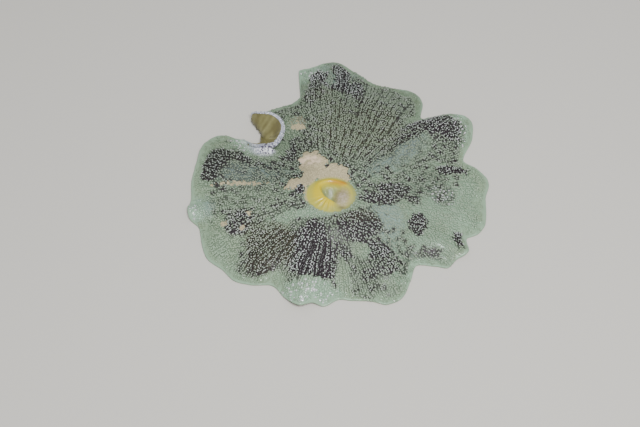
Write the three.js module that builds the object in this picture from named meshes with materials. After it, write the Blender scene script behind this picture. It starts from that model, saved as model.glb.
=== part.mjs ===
// A Haddon's carpet anemone spread over the floor at low tide, as a still, life-size model.
// Millimetres, +Z up. The origin is on the floor at the centre of the pedal disc, under the
// mouth. Bearings are degrees round the mouth, counted from +X towards +Y.
//
// The animal is one sheet of flesh: a wide oral disc on a squat column. Every node is a loft of
// cross-sections cut from the same surface functions, so that neighbours meet along thin cuts.
import * as THREE from "three";

// ---- Driving dimensions -------------------------------------------------------------------

const GAP = 0.3;              // the thin cut between two neighbouring pieces
const HEM_GAP = 1.2;          // the cut where the curl leaves the disc
const COAT = 4.5;             // tentacles standing on the oral disc
const COAT_AT_EDGE = 2.6;     // the short tentacles along the margin
const PRESSED_COAT = 1.2;     // the tentacles inside the curl's fold
const FLESH_AT_LIP = 11;      // thickness of the disc round the mouth
const FLESH_AT_EDGE = 3.6;    // thickness of the disc at its margin

const LIP_X = 32;             // half length of the mouth's lips
const LIP_Y = 26;             // half width of the mouth's lips
const LIP_WIDTH = 12;         // how broad the roll of the lips is
const LIP_ROLL = 3.5;         // how far the lips stand over the disc round them
const THROAT_Z = 18;          // level of the flesh at the bottom of the mouth
const THROAT_FLESH = 3;

const BASIN_Z = 26;           // level of the oral disc where it meets the lips
const MARGIN_Z = 3.6;         // level of the oral side at a margin that lies on the floor
const DOME_POWER = 1.15;      // how the disc falls from the basin to the margin
const EVEN_WINDOW = 24;       // degrees to each side over which the margin's reach is evened out
const CREST = 5;              // low ring ridge round the mouth
const CREST_R = 50;
const CREST_WIDTH = 16;
const CREST_BEARING = 270;    // the ring ridge is highest on this side
const CREST_BIAS = 0.35;

const FOOT_R = 60;            // the pedal disc
const FOOT_H = 3.4;
const COLUMN_WAIST = 57;
const COLUMN_TOP_R = 68;

// The margin of the disc, lobe by lobe: the bearings that bound the lobe, and the bearing and
// reach of each turn of its outline.
const LOBES = [
  { name: "lobe_north", from: 79, to: 104.5,
    outline: [[103.5, 180], [102.2, 205], [101, 229], [96.7, 227], [86.5, 236], [80.5, 224.5]] },
  { name: "lobe_north_north_east", from: 46.6, to: 79,
    outline: [[70.5, 209], [64, 213], [56, 220.5], [51, 212.5], [46.6, 190]] },
  { name: "lobe_north_east", from: 19.4, to: 46.6,
    outline: [[42.6, 203.5], [39.5, 218], [32.5, 236.5], [28, 227], [19.4, 195.8]] },
  { name: "lobe_east", from: -17.6, to: 19.4,
    outline: [[14.8, 208.6], [8, 218], [1, 209.3], [351, 208.5], [346, 201], [342.4, 187.5]] },
  { name: "lobe_south_east", from: 319, to: 342.4,
    outline: [[337, 195], [331.5, 184.5], [326.9, 181], [324.9, 168], [319, 146.3]] },
  { name: "lobe_south_south_east", from: 274.5, to: 319,
    outline: [[311, 156], [301, 168.3], [296, 166.8], [289, 153.8], [279.5, 146.5], [274.5, 143.7]] },
  { name: "lobe_south", from: 239.6, to: 274.5,
    outline: [[266.4, 153], [262, 151.4], [255.5, 160], [248, 153.2], [239.6, 144.3]] },
  { name: "lobe_south_west", from: 215.5, to: 239.6,
    outline: [[230, 160], [222, 170.8], [217.3, 171.5]] },
  { name: "lobe_west_south_west", from: 192.5, to: 215.5,
    outline: [[207, 181.3], [193.4, 177.5]] },
  { name: "lobe_west", from: 170, to: 192.5,
    outline: [[187.4, 189], [184.2, 189.7], [178.4, 186.8]] },
  { name: "lobe_west_north_west", from: 142, to: 170,
    outline: [[170, 191.2], [160.9, 193.4], [153, 198], [147, 193.7], [143.6, 183], [142.3, 170]] },
  { name: "lobe_north_west", from: 104.5, to: 128.2,
    outline: [[128, 172], [127.4, 177], [122.5, 175], [110, 172]] },
];
const BAY = { name: "disc_under_curl", from: 128.2, to: 142, outline: [] };

// Ridges (positive) and valleys (negative) that run outwards over the disc: bearing, half width
// in degrees, height, where along the way out it starts and is fullest, and the share of the
// height that is left at the margin.
const FOLDS = [
  { bearing: 92, width: 9, height: 14, start: 0.4, full: 0.85, atMargin: 0.95 },
  { bearing: 79, width: 3.5, height: -4, start: 0.35, full: 0.8, atMargin: 1 },
  { bearing: 66, width: 10, height: 6, start: 0.45, full: 0.8, atMargin: 0.35 },
  { bearing: 50, width: 5, height: -3, start: 0.3, full: 0.7, atMargin: 1 },
  { bearing: 37, width: 8, height: 20, start: 0.2, full: 0.8, atMargin: 0.85 },
  { bearing: 8, width: 12, height: 7, start: 0.45, full: 0.8, atMargin: 0.35 },
  { bearing: 352, width: 6, height: 5, start: 0.5, full: 0.85, atMargin: 0.5 },
  { bearing: 336, width: 7, height: 11, start: 0.5, full: 0.9, atMargin: 0.9 },
  { bearing: 303, width: 12, height: 10, start: 0.4, full: 0.8, atMargin: 0.45 },
  { bearing: 288, width: 4.5, height: -3, start: 0.3, full: 0.8, atMargin: 1 },
  { bearing: 276, width: 3.5, height: -3, start: 0.3, full: 0.8, atMargin: 0.6 },
  { bearing: 256, width: 10, height: 16, start: 0.45, full: 0.9, atMargin: 1 },
  { bearing: 225, width: 12, height: 6, start: 0.4, full: 0.75, atMargin: 0.3 },
  { bearing: 199, width: 7, height: 6, start: 0.5, full: 0.85, atMargin: 0.6 },
  { bearing: 185, width: 4.5, height: 14, start: 0.75, full: 1, atMargin: 1 },
  { bearing: 177, width: 4, height: -3, start: 0.3, full: 0.7, atMargin: 0.8 },
  { bearing: 157, width: 12, height: 16, start: 0.35, full: 0.8, atMargin: 0.6 },
  { bearing: 112, width: 9, height: 5, start: 0.4, full: 0.8, atMargin: 0.4 },
];
const SETTLE = 6;             // the margin sinks this much, so that it lies on the floor
const SETTLE_START = 0.7;     // where along the way out it starts to sink
const LOWEST_ORAL_Z = 3.4;
const PAST_MARGIN = 1.001;

// The curl: a stretch of the margin that stands up and is folded back over the disc like a
// shallow funnel. Each station gives its angle round the funnel, the rim's distance from the
// funnel's centre and its height, and the bearing, reach and height of the hem, where the flap
// leaves the disc. On the south side the disc itself rises to the rim, so hem and rim meet.
const FUNNEL = [-92, 104];
const CURL = [
  { around: -166, rimRadius: 29.5, rim: 10, bearing: 142, reach: 155, hem: 10 },
  { around: -137, rimRadius: 25, rim: 13, bearing: 141.8, reach: 140.5, hem: 13 },
  { around: -114, rimRadius: 26.6, rim: 18, bearing: 141.5, reach: 130, hem: 18 },
  { around: -91, rimRadius: 29.3, rim: 24, bearing: 140.8, reach: 119, hem: 24 },
  { around: -71, rimRadius: 33, rim: 28, bearing: 138.4, reach: 109.4, hem: 27.5 },
  { around: -51, rimRadius: 32, rim: 31, bearing: 136.6, reach: 111.5, hem: 14 },
  { around: -29, rimRadius: 30.7, rim: 33, bearing: 135, reach: 117, hem: 10 },
  { around: -4, rimRadius: 29.4, rim: 34, bearing: 133.2, reach: 125, hem: 7.5 },
  { around: 21, rimRadius: 26.8, rim: 34, bearing: 131.8, reach: 133, hem: 6.5 },
  { around: 49, rimRadius: 25.1, rim: 33, bearing: 130.5, reach: 141, hem: 6 },
  { around: 78, rimRadius: 25.1, rim: 31, bearing: 129.7, reach: 149, hem: 5.5 },
  { around: 100, rimRadius: 28.8, rim: 27, bearing: 129.1, reach: 158, hem: 5 },
  { around: 115, rimRadius: 37, rim: 19, bearing: 128.6, reach: 168, hem: 4.5 },
];
const CURL_PIECES = [
  { name: "curl_south_east", from: -48, to: 0 },
  { name: "curl_east", from: 0, to: 55 },
  { name: "curl_north", from: 55, to: 112 },
];
const FUNNEL_REACH = 40;      // the curl lies over the disc as far as this from its centre
const SHOULDER = 8;           // how broadly the disc rises towards the hem
const FOLD_BULGE = 6;         // how far the fold at the hem runs on before it turns back
const RIM_RISE = 8;           // length over which the rim stands upright
const RIM_LEAN = 4;           // how far the rim leans back over the funnel
const FULL_WALL = 20;         // a wall this high has the whole bulge and lean

// ---- Curves -------------------------------------------------------------------------------

const radians = THREE.MathUtils.degToRad;
const lerp = THREE.MathUtils.lerp;
const clamp = THREE.MathUtils.clamp;
const wrap = (degrees) => THREE.MathUtils.euclideanModulo(degrees, 360);
const smooth = (a, b, t) => THREE.MathUtils.smoothstep(t, a, b);

const polar = (bearing, radius, z) => new THREE.Vector3(
  radius * Math.cos(radians(bearing)), radius * Math.sin(radians(bearing)), z);

const flat = (point) => new THREE.Vector3(point.x, point.y, 0);

/** A curve through [x, y] points that never overshoots them (monotone cubic). */
function through(points) {
  const sorted = [...points].sort((a, b) => a[0] - b[0]);
  const steps = sorted.slice(1).map((p, i) => p[0] - sorted[i][0]);
  const rises = steps.map((h, i) => (sorted[i + 1][1] - sorted[i][1]) / h);
  const slopes = sorted.map((_, i) => {
    if (i === 0 || i === sorted.length - 1 || rises[i - 1] * rises[i] <= 0) return 0;
    const before = 2 * steps[i] + steps[i - 1];
    const after = steps[i] + 2 * steps[i - 1];
    return (before + after) / (before / rises[i - 1] + after / rises[i]);
  });
  return (x) => {
    let i = 0;
    while (i < sorted.length - 2 && x > sorted[i + 1][0]) i += 1;
    const u = clamp((x - sorted[i][0]) / steps[i], 0, 1);
    const value = (1 + 2 * u) * (1 - u) ** 2 * sorted[i][1] + u * u * (3 - 2 * u) * sorted[i + 1][1];
    const bend = u * (1 - u) * ((1 - u) * slopes[i] - u * slopes[i + 1]);
    return value + bend * steps[i];
  };
}

const curlCurve = (key) => through(CURL.map((station) => [station.around, station[key]]));
const hemBearing = curlCurve("bearing");
const hemReach = curlCurve("reach");
const hemHeight = curlCurve("hem");
const rimHeight = curlCurve("rim");
const rimRadius = curlCurve("rimRadius");

/** Angles round the funnel at which the hem is drawn: each station, and once between them. */
const hemAngles = CURL.slice(1).flatMap(({ around }, i) =>
  [CURL[i].around, (CURL[i].around + around) / 2]).concat(CURL.at(-1).around);
BAY.outline = hemAngles.map((around) => [hemBearing(around), hemReach(around)]);

const outline = [...LOBES, BAY].flatMap((lobe) => lobe.outline).sort((a, b) => a[0] - b[0]);
const lap = (points, turn) => points.map(([bearing, reach]) => [bearing + turn, reach]);
const outlineCurve = through([
  ...lap(outline.slice(-3), -360), ...outline, ...lap(outline.slice(0, 3), 360),
]);

/** Distance from the mouth's centre to the margin, or to the curl's hem. */
const reachAt = (bearing) => outlineCurve(wrap(bearing));

/** Distance from the mouth's centre to the outer edge of the lips. */
const lipAt = (bearing) =>
  1 / Math.hypot(Math.cos(radians(bearing)) / LIP_X, Math.sin(radians(bearing)) / LIP_Y);

// ---- The oral disc ------------------------------------------------------------------------

const evenReaches = new Map();

/** The margin's reach, evened out over its notches. */
function evenReachAt(bearing) {
  if (!evenReaches.has(bearing)) {
    const turns = [-1, -0.75, -0.5, -0.25, 0, 0.25, 0.5, 0.75, 1];
    const sum = turns.reduce((total, turn) => total + reachAt(bearing + turn * EVEN_WINDOW), 0);
    evenReaches.set(bearing, sum / turns.length);
  }
  return evenReaches.get(bearing);
}

/** Distance from the mouth's centre. Only the outer rows follow the notches of the margin. */
function radiusAt(bearing, out) {
  const even = evenReachAt(bearing);
  return lerp(lipAt(bearing) + GAP, even, out) + (reachAt(bearing) - even) * out * out;
}

/** The ring ridge round the mouth. */
function crestHeight(bearing, out) {
  const side = 1 - CREST_BIAS + CREST_BIAS * Math.cos(radians(bearing - CREST_BEARING));
  return CREST * side * Math.exp(-(((radiusAt(bearing, out) - CREST_R) / CREST_WIDTH) ** 2));
}

const hemLine = hemAngles.map((around) =>
  polar(hemBearing(around), hemReach(around), hemHeight(around)));

/** Raises a height towards the hem of the curl, near it. */
function withShoulder(bearing, radius, height) {
  const point = polar(bearing, radius, 0);
  let nearest = { distance: Infinity, level: 0 };
  for (let i = 0; i < hemLine.length - 1; i += 1) {
    const along = new THREE.Line3(flat(hemLine[i]), flat(hemLine[i + 1]));
    const share = along.closestPointToPointParameter(point, true);
    const distance = along.at(share, new THREE.Vector3()).distanceTo(point);
    const level = lerp(hemLine[i].z, hemLine[i + 1].z, share);
    if (distance < nearest.distance) nearest = { distance, level };
  }
  const nearness = Math.exp(-((nearest.distance / SHOULDER) ** 2));
  return height + Math.max(nearest.level - height, 0) * nearness;
}

/** The dome of the disc, which doesn't follow each notch of the margin. */
function domeHeight(bearing, out) {
  const lip = lipAt(bearing);
  const share = (radiusAt(bearing, out) - lip) / (evenReachAt(bearing) - lip);
  return MARGIN_Z + (BASIN_Z - MARGIN_Z) * Math.max(1 - share, 0) ** DOME_POWER;
}

/** Height of the disc without its ring ridge. `out` runs from 0 at the lips to 1 at the margin. */
function discHeight(bearing, out) {
  const folds = FOLDS.reduce((sum, fold) => {
    const off = wrap(bearing - fold.bearing + 180) - 180;
    const rise = smooth(fold.start, fold.full, out);
    const fall = 1 - (1 - fold.atMargin) * smooth(fold.full, PAST_MARGIN, out);
    return sum + fold.height * Math.exp(-((off / fold.width) ** 2)) * rise * fall;
  }, 0);
  const height = domeHeight(bearing, out) + folds - SETTLE * smooth(SETTLE_START, 1, out);
  return withShoulder(bearing, radiusAt(bearing, out), Math.max(height, LOWEST_ORAL_Z));
}

/** Height of the coat; the curl presses it flat where it folds over the disc. */
function coatAt(bearing, out) {
  const standing = lerp(COAT, COAT_AT_EDGE, smooth(0.75, 1, out));
  const fromFunnel = polar(bearing, radiusAt(bearing, out), 0)
    .distanceTo(new THREE.Vector3(FUNNEL[0], FUNNEL[1], 0));
  return lerp(PRESSED_COAT, standing, smooth(FUNNEL_REACH - 14, FUNNEL_REACH, fromFunnel));
}

const fleshAt = (out) => lerp(FLESH_AT_LIP, FLESH_AT_EDGE, smooth(0, 0.9, out));

const oralHeight = (bearing, out) => discHeight(bearing, out) + crestHeight(bearing, out);
const underHeight = (bearing, out) => Math.max(discHeight(bearing, out) - fleshAt(out), 0);

// Rows of a section from the lips to the margin, and how much of the thickness each has: the
// margin is rounded off.
const DISC_ROWS = [0, 0.12, 0.28, 0.44, 0.59, 0.72, 0.84, 0.93, 0.985, 1];
const ROUNDING = [1, 1, 1, 1, 1, 1, 1, 1, 0.86, 0.34];

/** The two sides of the disc along one bearing, the upper one out to the tips of its coat. */
function discSection(bearing) {
  const upper = DISC_ROWS.map((out, i) => polar(bearing, radiusAt(bearing, out),
    lerp(underHeight(bearing, out), oralHeight(bearing, out) + coatAt(bearing, out), 0.5 + ROUNDING[i] / 2)));
  const lower = DISC_ROWS.map((out, i) => polar(bearing, radiusAt(bearing, out),
    lerp(oralHeight(bearing, out) + coatAt(bearing, out), underHeight(bearing, out), 0.5 + ROUNDING[i] / 2)));
  return { upper, lower };
}

/** Moves a section sideways, along its own bearing's tangent. */
function shiftSection(section, bearing, distance) {
  const step = new THREE.Vector3(
    -Math.sin(radians(bearing)), Math.cos(radians(bearing)), 0).multiplyScalar(distance);
  section.upper.forEach((p) => p.add(step));
  section.lower.forEach((p) => p.add(step));
  return section;
}

/** Draws the last rows of a section in from the hem, clear of the curl. */
function drawIn(section, bearing) {
  const last = DISC_ROWS.length - 1;
  [section.upper, section.lower].forEach((side) => side.forEach((point, i) => {
    point.sub(polar(bearing, HEM_GAP * DISC_ROWS[i] ** last, 0));
  }));
  return section;
}

const DEGREES_PER_SECTION = 3.6;
const CLOSEST_SECTIONS = 0.02;

/** Bearings from one side of a lobe to the other, with every turn of its outline among them. */
function bearingsOf({ from, to, outline: turns }) {
  const near = (bearing) => from + wrap(bearing - from);
  const stops = [from, ...turns.map(([bearing]) => near(bearing)), to]
    .filter((bearing) => bearing <= to).sort((a, b) => a - b)
    .filter((bearing, i, all) => i === 0 || bearing - all[i - 1] > CLOSEST_SECTIONS);
  return stops.slice(1).flatMap((stop, i) => {
    const count = Math.ceil((stop - stops[i]) / DEGREES_PER_SECTION);
    return Array.from({ length: count }, (_, k) => lerp(stops[i], stop, k / count));
  }).concat(to);
}

/** One lobe of the disc, cut off half a gap inside its two bounding bearings. */
function lobeSections(lobe) {
  const bearings = bearingsOf(lobe);
  return bearings.map((bearing, i) => {
    const side = (i === 0 ? 1 : 0) - (i === bearings.length - 1 ? 1 : 0);
    const section = shiftSection(discSection(bearing), bearing, side * GAP / 2);
    return lobe === BAY ? drawIn(section, bearing) : section;
  });
}

// ---- The curl -----------------------------------------------------------------------------

/** A point of the hem, where the curl leaves the disc, on the oral side. */
function hemPoint(around) {
  const bearing = hemBearing(around);
  const reach = hemReach(around);
  return new THREE.Vector3(
    reach * Math.cos(radians(bearing)), reach * Math.sin(radians(bearing)), oralHeight(bearing, 1));
}

/** The way across the hem, from the disc to the curl. */
function acrossHem(around) {
  const along = flat(hemPoint(around + 1)).sub(flat(hemPoint(around - 1)));
  return new THREE.Vector3(-along.y, along.x, 0).normalize();
}

/** A point of the curl's oral side. `up` runs from 0 at the hem to 1 at the rim. */
function curlPoint(around, up) {
  const outward = new THREE.Vector3(Math.cos(radians(around)), Math.sin(radians(around)), 0);
  const hem = hemPoint(around);
  const rim = new THREE.Vector3(FUNNEL[0], FUNNEL[1], rimHeight(around))
    .addScaledVector(outward, rimRadius(around));
  const tall = clamp((rim.z - hem.z) / FULL_WALL, 0, 1);
  const turn = hem.clone().addScaledVector(acrossHem(around), FOLD_BULGE * tall);
  const upright = rim.clone().addScaledVector(outward, RIM_LEAN * tall);
  upright.z -= RIM_RISE * tall;
  return new THREE.CubicBezierCurve3(hem, turn, upright, rim).getPoint(up);
}

/** The oral side's outward normal on the curl. */
function curlNormal(around, up) {
  const step = 0.01;
  const along = curlPoint(around, Math.min(up + step, 1))
    .sub(curlPoint(around, Math.max(up - step, 0)));
  const across = curlPoint(around + 1, up).sub(curlPoint(around - 1, up));
  return across.cross(along).normalize();
}

const CURL_ROWS = [0, 0.16, 0.32, 0.48, 0.64, 0.8, 0.93, 1];
const CURL_ROUNDING = [1, 1, 1, 1, 1, 1, 0.9, 0.4];

/** The two sides of the curl at one angle round the funnel. */
function curlSection(around) {
  const across = acrossHem(around);
  const up = new THREE.Vector3(0, 0, 1);
  const point = (row, i, offset) => {
    const level = 1 - smooth(0, 0.2, row);
    const clear = HEM_GAP * (1 - smooth(0, 0.6, row));
    const normal = curlNormal(around, row).lerp(up, level).normalize();
    return curlPoint(around, row).addScaledVector(normal, offset * CURL_ROUNDING[i])
      .addScaledVector(across, clear);
  };
  const coat = (row) => lerp(PRESSED_COAT, COAT, smooth(0.4, 0.95, row));
  return {
    upper: CURL_ROWS.map((row, i) => point(row, i, coat(row))),
    lower: CURL_ROWS.map((row, i) => point(row, i, -FLESH_AT_EDGE)),
  };
}

const SECTIONS_PER_CURL_PIECE = 8;
const CURL_GAP_DEGREES = 0.6; // half the cut between two stretches of the curl

/** One stretch of the curl, from its far end to its near one, so that its faces point out. */
function curlSections({ from, to }) {
  const last = SECTIONS_PER_CURL_PIECE - 1;
  return Array.from({ length: last + 1 }, (_, i) =>
    curlSection(lerp(to - CURL_GAP_DEGREES, from + CURL_GAP_DEGREES, i / last)));
}

// ---- Solids -------------------------------------------------------------------------------

/** Closes a row of sections into one solid; a ring has no ends, and may start on the axis. */
function loft(name, material, sections, ring = false) {
  const rows = sections[0].upper.length;
  const onAxis = ring && sections[0].upper[0].x === 0;
  const positions = sections.flatMap(({ upper, lower }) => [...upper, ...lower]
    .flatMap((p) => [p.x, p.y, p.z]));
  const upperAt = (column, row) =>
    (onAxis && row === 0 ? 0 : (column % sections.length) * rows * 2) + row;
  const lowerAt = (column, row) => upperAt(column, row) + rows;
  const faces = [];
  const face = (a, b, c) => {
    if (a !== b && b !== c && c !== a) faces.push(a, b, c);
  };
  const quad = (a, b, c, d) => {
    face(a, b, c);
    face(a, c, d);
  };
  const spans = ring ? sections.length : sections.length - 1;
  for (let i = 0; i < spans; i += 1) {
    for (let j = 0; j < rows - 1; j += 1) {
      quad(upperAt(i, j), upperAt(i, j + 1), upperAt(i + 1, j + 1), upperAt(i + 1, j));
      quad(lowerAt(i, j), lowerAt(i + 1, j), lowerAt(i + 1, j + 1), lowerAt(i, j + 1));
    }
    const last = rows - 1;
    quad(upperAt(i, last), lowerAt(i, last), lowerAt(i + 1, last), upperAt(i + 1, last));
    quad(upperAt(i, 0), upperAt(i + 1, 0), lowerAt(i + 1, 0), lowerAt(i, 0));
  }
  const end = sections.length - 1;
  for (let j = 0; !ring && j < rows - 1; j += 1) {
    quad(upperAt(0, j), lowerAt(0, j), lowerAt(0, j + 1), upperAt(0, j + 1));
    quad(upperAt(end, j), upperAt(end, j + 1), lowerAt(end, j + 1), lowerAt(end, j));
  }
  const geometry = new THREE.BufferGeometry();
  geometry.setAttribute("position", new THREE.Float32BufferAttribute(positions, 3));
  geometry.setIndex(faces);
  geometry.computeVertexNormals();
  const mesh = new THREE.Mesh(geometry, material);
  mesh.name = name;
  return mesh;
}

/** Sections all the way round, from a function of the bearing. */
function allRound(count, section) {
  return Array.from({ length: count }, (_, i) => section(360 * i / count));
}

// ---- Mouth, column and foot ---------------------------------------------------------------

const ROUND_COUNT = 36;
const LIP_DROP = 4;           // how much lower the lips end on the mouth's side
const LIP_ROWS = [0, 0.25, 0.5, 0.78, 1];

/** The lips: a soft roll round the mouth, lower on its inner side. */
function lipSection(bearing) {
  const outer = lipAt(bearing);
  const base = oralHeight(bearing, 0);
  const radius = (row) => lerp(outer - LIP_WIDTH, outer, row);
  const upper = LIP_ROWS.map((row) => {
    const roll = LIP_ROLL * Math.sin(Math.PI * row) + lerp(-LIP_DROP, COAT / 2, row);
    return polar(bearing, radius(row), base + roll);
  });
  const lower = LIP_ROWS.map((row) => polar(bearing, radius(row), THROAT_Z - THROAT_FLESH));
  return { upper, lower };
}

/** The throat: the flesh that closes the mouth between the lips. */
function throatSection(bearing) {
  const edge = lipAt(bearing) - LIP_WIDTH - GAP;
  const rows = [0, 0.5, 1];
  const dip = [0, 0.6, 2.4];
  return {
    upper: rows.map((row, i) => polar(bearing, edge * row, THROAT_Z + dip[i])),
    lower: rows.map((row) => polar(bearing, edge * row, THROAT_Z - THROAT_FLESH)),
  };
}

const COLUMN_CLEARANCE = 1.6;
const COLUMN_TOP = [0, LIP_Y - 2, LIP_X + 3, 46, 56, COLUMN_TOP_R - 2, COLUMN_TOP_R];
const COLUMN_FOOT = [0, 18, 32, 43, 51, COLUMN_WAIST, COLUMN_WAIST + 6];
const COLUMN_SHOULDER = 2.5;  // the top edge of the column is rounded off by this much
const COLUMN_FLARE = 5;       // the column widens this far above the pedal disc

/** The squat column between the pedal disc and the oral disc. */
function columnSection(bearing) {
  const underDisc = (radius) => {
    const out = (radius - lipAt(bearing)) / (evenReachAt(bearing) - lipAt(bearing));
    if (out <= 0) return THROAT_Z - THROAT_FLESH - COLUMN_CLEARANCE;
    return underHeight(bearing, out) - COLUMN_CLEARANCE;
  };
  const last = COLUMN_TOP.length - 1;
  const upper = COLUMN_TOP.map((radius, i) =>
    polar(bearing, radius, underDisc(radius) - (i === last ? COLUMN_SHOULDER : 0)));
  const lower = COLUMN_FOOT.map((radius, i) =>
    polar(bearing, radius, FOOT_H + GAP + (i === last ? COLUMN_FLARE : 0)));
  return { upper, lower };
}

/** The pedal disc, the flat sole that the animal sits on. */
function footSection(bearing) {
  return {
    upper: [polar(bearing, 0, FOOT_H), polar(bearing, FOOT_R - 4, FOOT_H),
      polar(bearing, FOOT_R - 1, FOOT_H - 0.8), polar(bearing, FOOT_R, FOOT_H * 0.55)],
    lower: [polar(bearing, 0, 0), polar(bearing, FOOT_R - 4, 0),
      polar(bearing, FOOT_R - 1.6, 0), polar(bearing, FOOT_R - 0.4, 0.7)],
  };
}

// ---- The animal ---------------------------------------------------------------------------

const flesh = (color, roughness) => new THREE.MeshStandardMaterial({ color, roughness, metalness: 0 });

/** Tentacled oral side: pale sage green, wet. */
const oralFlesh = () => flesh(0x8f9d8c, 0.45);
const lipFlesh = () => flesh(0xc5ba7a, 0.35);
const throatFlesh = () => flesh(0xadac8d, 0.4);
const columnFlesh = () => flesh(0x88866a, 0.5);
const footFlesh = () => flesh(0xb6a98c, 0.6);

const anemone = new THREE.Group();
for (const lobe of [...LOBES, BAY]) anemone.add(loft(lobe.name, oralFlesh(), lobeSections(lobe)));
for (const piece of CURL_PIECES) anemone.add(loft(piece.name, oralFlesh(), curlSections(piece)));
anemone.add(loft("lips", lipFlesh(), allRound(ROUND_COUNT, lipSection), true));
anemone.add(loft("throat", throatFlesh(), allRound(ROUND_COUNT, throatSection), true));
anemone.add(loft("column", columnFlesh(), allRound(ROUND_COUNT, columnSection), true));
anemone.add(loft("pedal_disc", footFlesh(), allRound(ROUND_COUNT, footSection), true));

export default anemone;
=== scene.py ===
"""A carpet sea anemone lying spread: one wet skin with pleated lips, and a coat of short tentacles.

The forms repeat the frame's own curves, so each piece lies inside its solids. Lengths are in
millimetres until a mesh is made, and bearings are degrees round the mouth, from +X towards +Y.
"""

from __future__ import annotations

import logging
import math
from dataclasses import dataclass, field
from enum import Enum
from functools import cached_property, reduce

import bpy
import numpy as np
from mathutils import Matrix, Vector
from mathutils.kdtree import KDTree

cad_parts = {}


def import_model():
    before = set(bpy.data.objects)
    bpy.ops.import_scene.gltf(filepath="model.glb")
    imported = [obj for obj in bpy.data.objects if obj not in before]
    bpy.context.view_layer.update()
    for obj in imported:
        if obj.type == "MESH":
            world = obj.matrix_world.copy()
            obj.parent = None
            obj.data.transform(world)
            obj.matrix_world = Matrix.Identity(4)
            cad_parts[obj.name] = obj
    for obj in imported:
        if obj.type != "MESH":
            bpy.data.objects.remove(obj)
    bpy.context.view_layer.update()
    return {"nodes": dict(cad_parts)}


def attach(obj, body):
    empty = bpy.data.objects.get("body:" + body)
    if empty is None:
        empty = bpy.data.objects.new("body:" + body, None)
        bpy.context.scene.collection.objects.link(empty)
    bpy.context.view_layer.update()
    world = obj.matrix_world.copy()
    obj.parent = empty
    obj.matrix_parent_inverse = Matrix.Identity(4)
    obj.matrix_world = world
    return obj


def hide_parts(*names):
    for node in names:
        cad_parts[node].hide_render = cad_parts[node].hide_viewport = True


LOG = logging.getLogger("anemone")
MM = 0.001
TURN = 360.0
BODY = "root"
Array = np.ndarray
IN_PLAN = np.array([1.0, 1.0, 0.0])  # drops the heights of places
DRIFT = (1.2, -3.2)  # of the lips, off the centre of the disc
DRIFT_REACH = 42.0  # how far out the flesh round the lips drifts with them


# ---- Curves and fields --------------------------------------------------------------------------


def smooth(low: float, high: float, value: Array) -> Array:
    """Eased step from 0 at `low` to 1 at `high`."""
    t = np.clip((np.asarray(value, float) - low) / (high - low), 0.0, 1.0)
    return t * t * (3.0 - 2.0 * t)


def lerp(start: Array, end: Array, share: Array) -> Array:
    """Straight blend from `start` to `end`."""
    return start + (end - start) * share


def polar(bearing: Array, radius: Array) -> tuple[Array, Array]:
    """Plan place of a point at a bearing and a distance from the mouth's centre."""
    angle = np.radians(bearing)
    return radius * np.cos(angle), radius * np.sin(angle)


def unit(vectors: Array) -> Array:
    """Vectors scaled to length 1."""
    return vectors / np.maximum(np.linalg.norm(vectors, axis=-1, keepdims=True), 1e-9)


def bearing_of(x: Array, y: Array) -> Array:
    """Bearing of a plan place from the mouth's centre."""
    return np.degrees(np.arctan2(y, x))


def bell(value: Array) -> Array:
    """Bell curve: 1 at 0, and falling off on both sides."""
    return np.exp(-(value**2))


def oval(x: Array, y: Array, centre: tuple[float, float], half: tuple[float, float],
         power: int = 2) -> Array:
    """Soft oval: 1 at its centre, falling off past its half sizes, more steeply with more power."""
    return np.exp(-(np.hypot((x - centre[0]) / half[0], (y - centre[1]) / half[1]) ** power))


def travelled(steps: Array) -> Array:
    """Length of the way to each point, from the lengths of the steps between them."""
    return np.concatenate([[0], np.cumsum(steps)])


class Curve:
    """A smooth curve through points that never overshoots them."""

    def __init__(self, points: list[tuple[float, float]]) -> None:
        """Works out the slope at each point.

        Args:
            points: The (x, y) points, in any order.
        """
        self.x, self.y = np.array(sorted(points), float).T
        step = np.diff(self.x)
        rise = np.diff(self.y) / step
        slope = np.zeros_like(self.x)
        turns = rise[:-1] * rise[1:] <= 0
        before, after = 2 * step[1:] + step[:-1], step[1:] + 2 * step[:-1]
        with np.errstate(divide="ignore", invalid="ignore"):
            inner = (before + after) / (before / rise[:-1] + after / rise[1:])
        slope[1:-1] = np.where(turns, 0.0, inner)
        self.slope = slope

    def __call__(self, x: Array) -> Array:
        """Height of the curve.

        Args:
            x: Where to read it; past its ends it stays level.

        Returns:
            The height at each place.
        """
        x = np.clip(np.asarray(x, float), self.x[0], self.x[-1])
        i = np.clip(np.searchsorted(self.x, x, side="right") - 1, 0, len(self.x) - 2)
        step = self.x[i + 1] - self.x[i]
        u = (x - self.x[i]) / step
        value = (1 + 2 * u) * (1 - u) ** 2 * self.y[i] + u * u * (3 - 2 * u) * self.y[i + 1]
        return value + u * (1 - u) * ((1 - u) * self.slope[i] - u * self.slope[i + 1]) * step


class Mottle:
    """Smooth seeded noise over the plan, made of waves in many directions."""

    WAVES = 14

    def __init__(self, size: float, seed: int) -> None:
        """Draws the waves.

        Args:
            size: Usual width of a blotch.
            seed: Seed of the draw.
        """
        rng = np.random.default_rng(seed)
        heading = rng.uniform(0, 2 * math.pi, self.WAVES)
        number = rng.uniform(0.6, 1.6, self.WAVES) * math.pi / size
        self.kx, self.ky = number * np.cos(heading), number * np.sin(heading)
        self.phase = rng.uniform(0, 2 * math.pi, self.WAVES)

    def __call__(self, x: Array, y: Array) -> Array:
        """Noise at each place, mostly between -1 and 1."""
        total = sum(np.sin(kx * x + ky * y + p) for kx, ky, p in zip(self.kx, self.ky, self.phase))
        return total * math.sqrt(2.0 / self.WAVES) * 0.7


# ---- The form of the animal ---------------------------------------------------------------------


@dataclass(frozen=True)
class Fold:
    """A ridge, or with a negative height a valley, that runs outwards over the disc."""

    bearing: float
    width: float
    height: float
    start: float
    full: float
    at_margin: float


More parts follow.
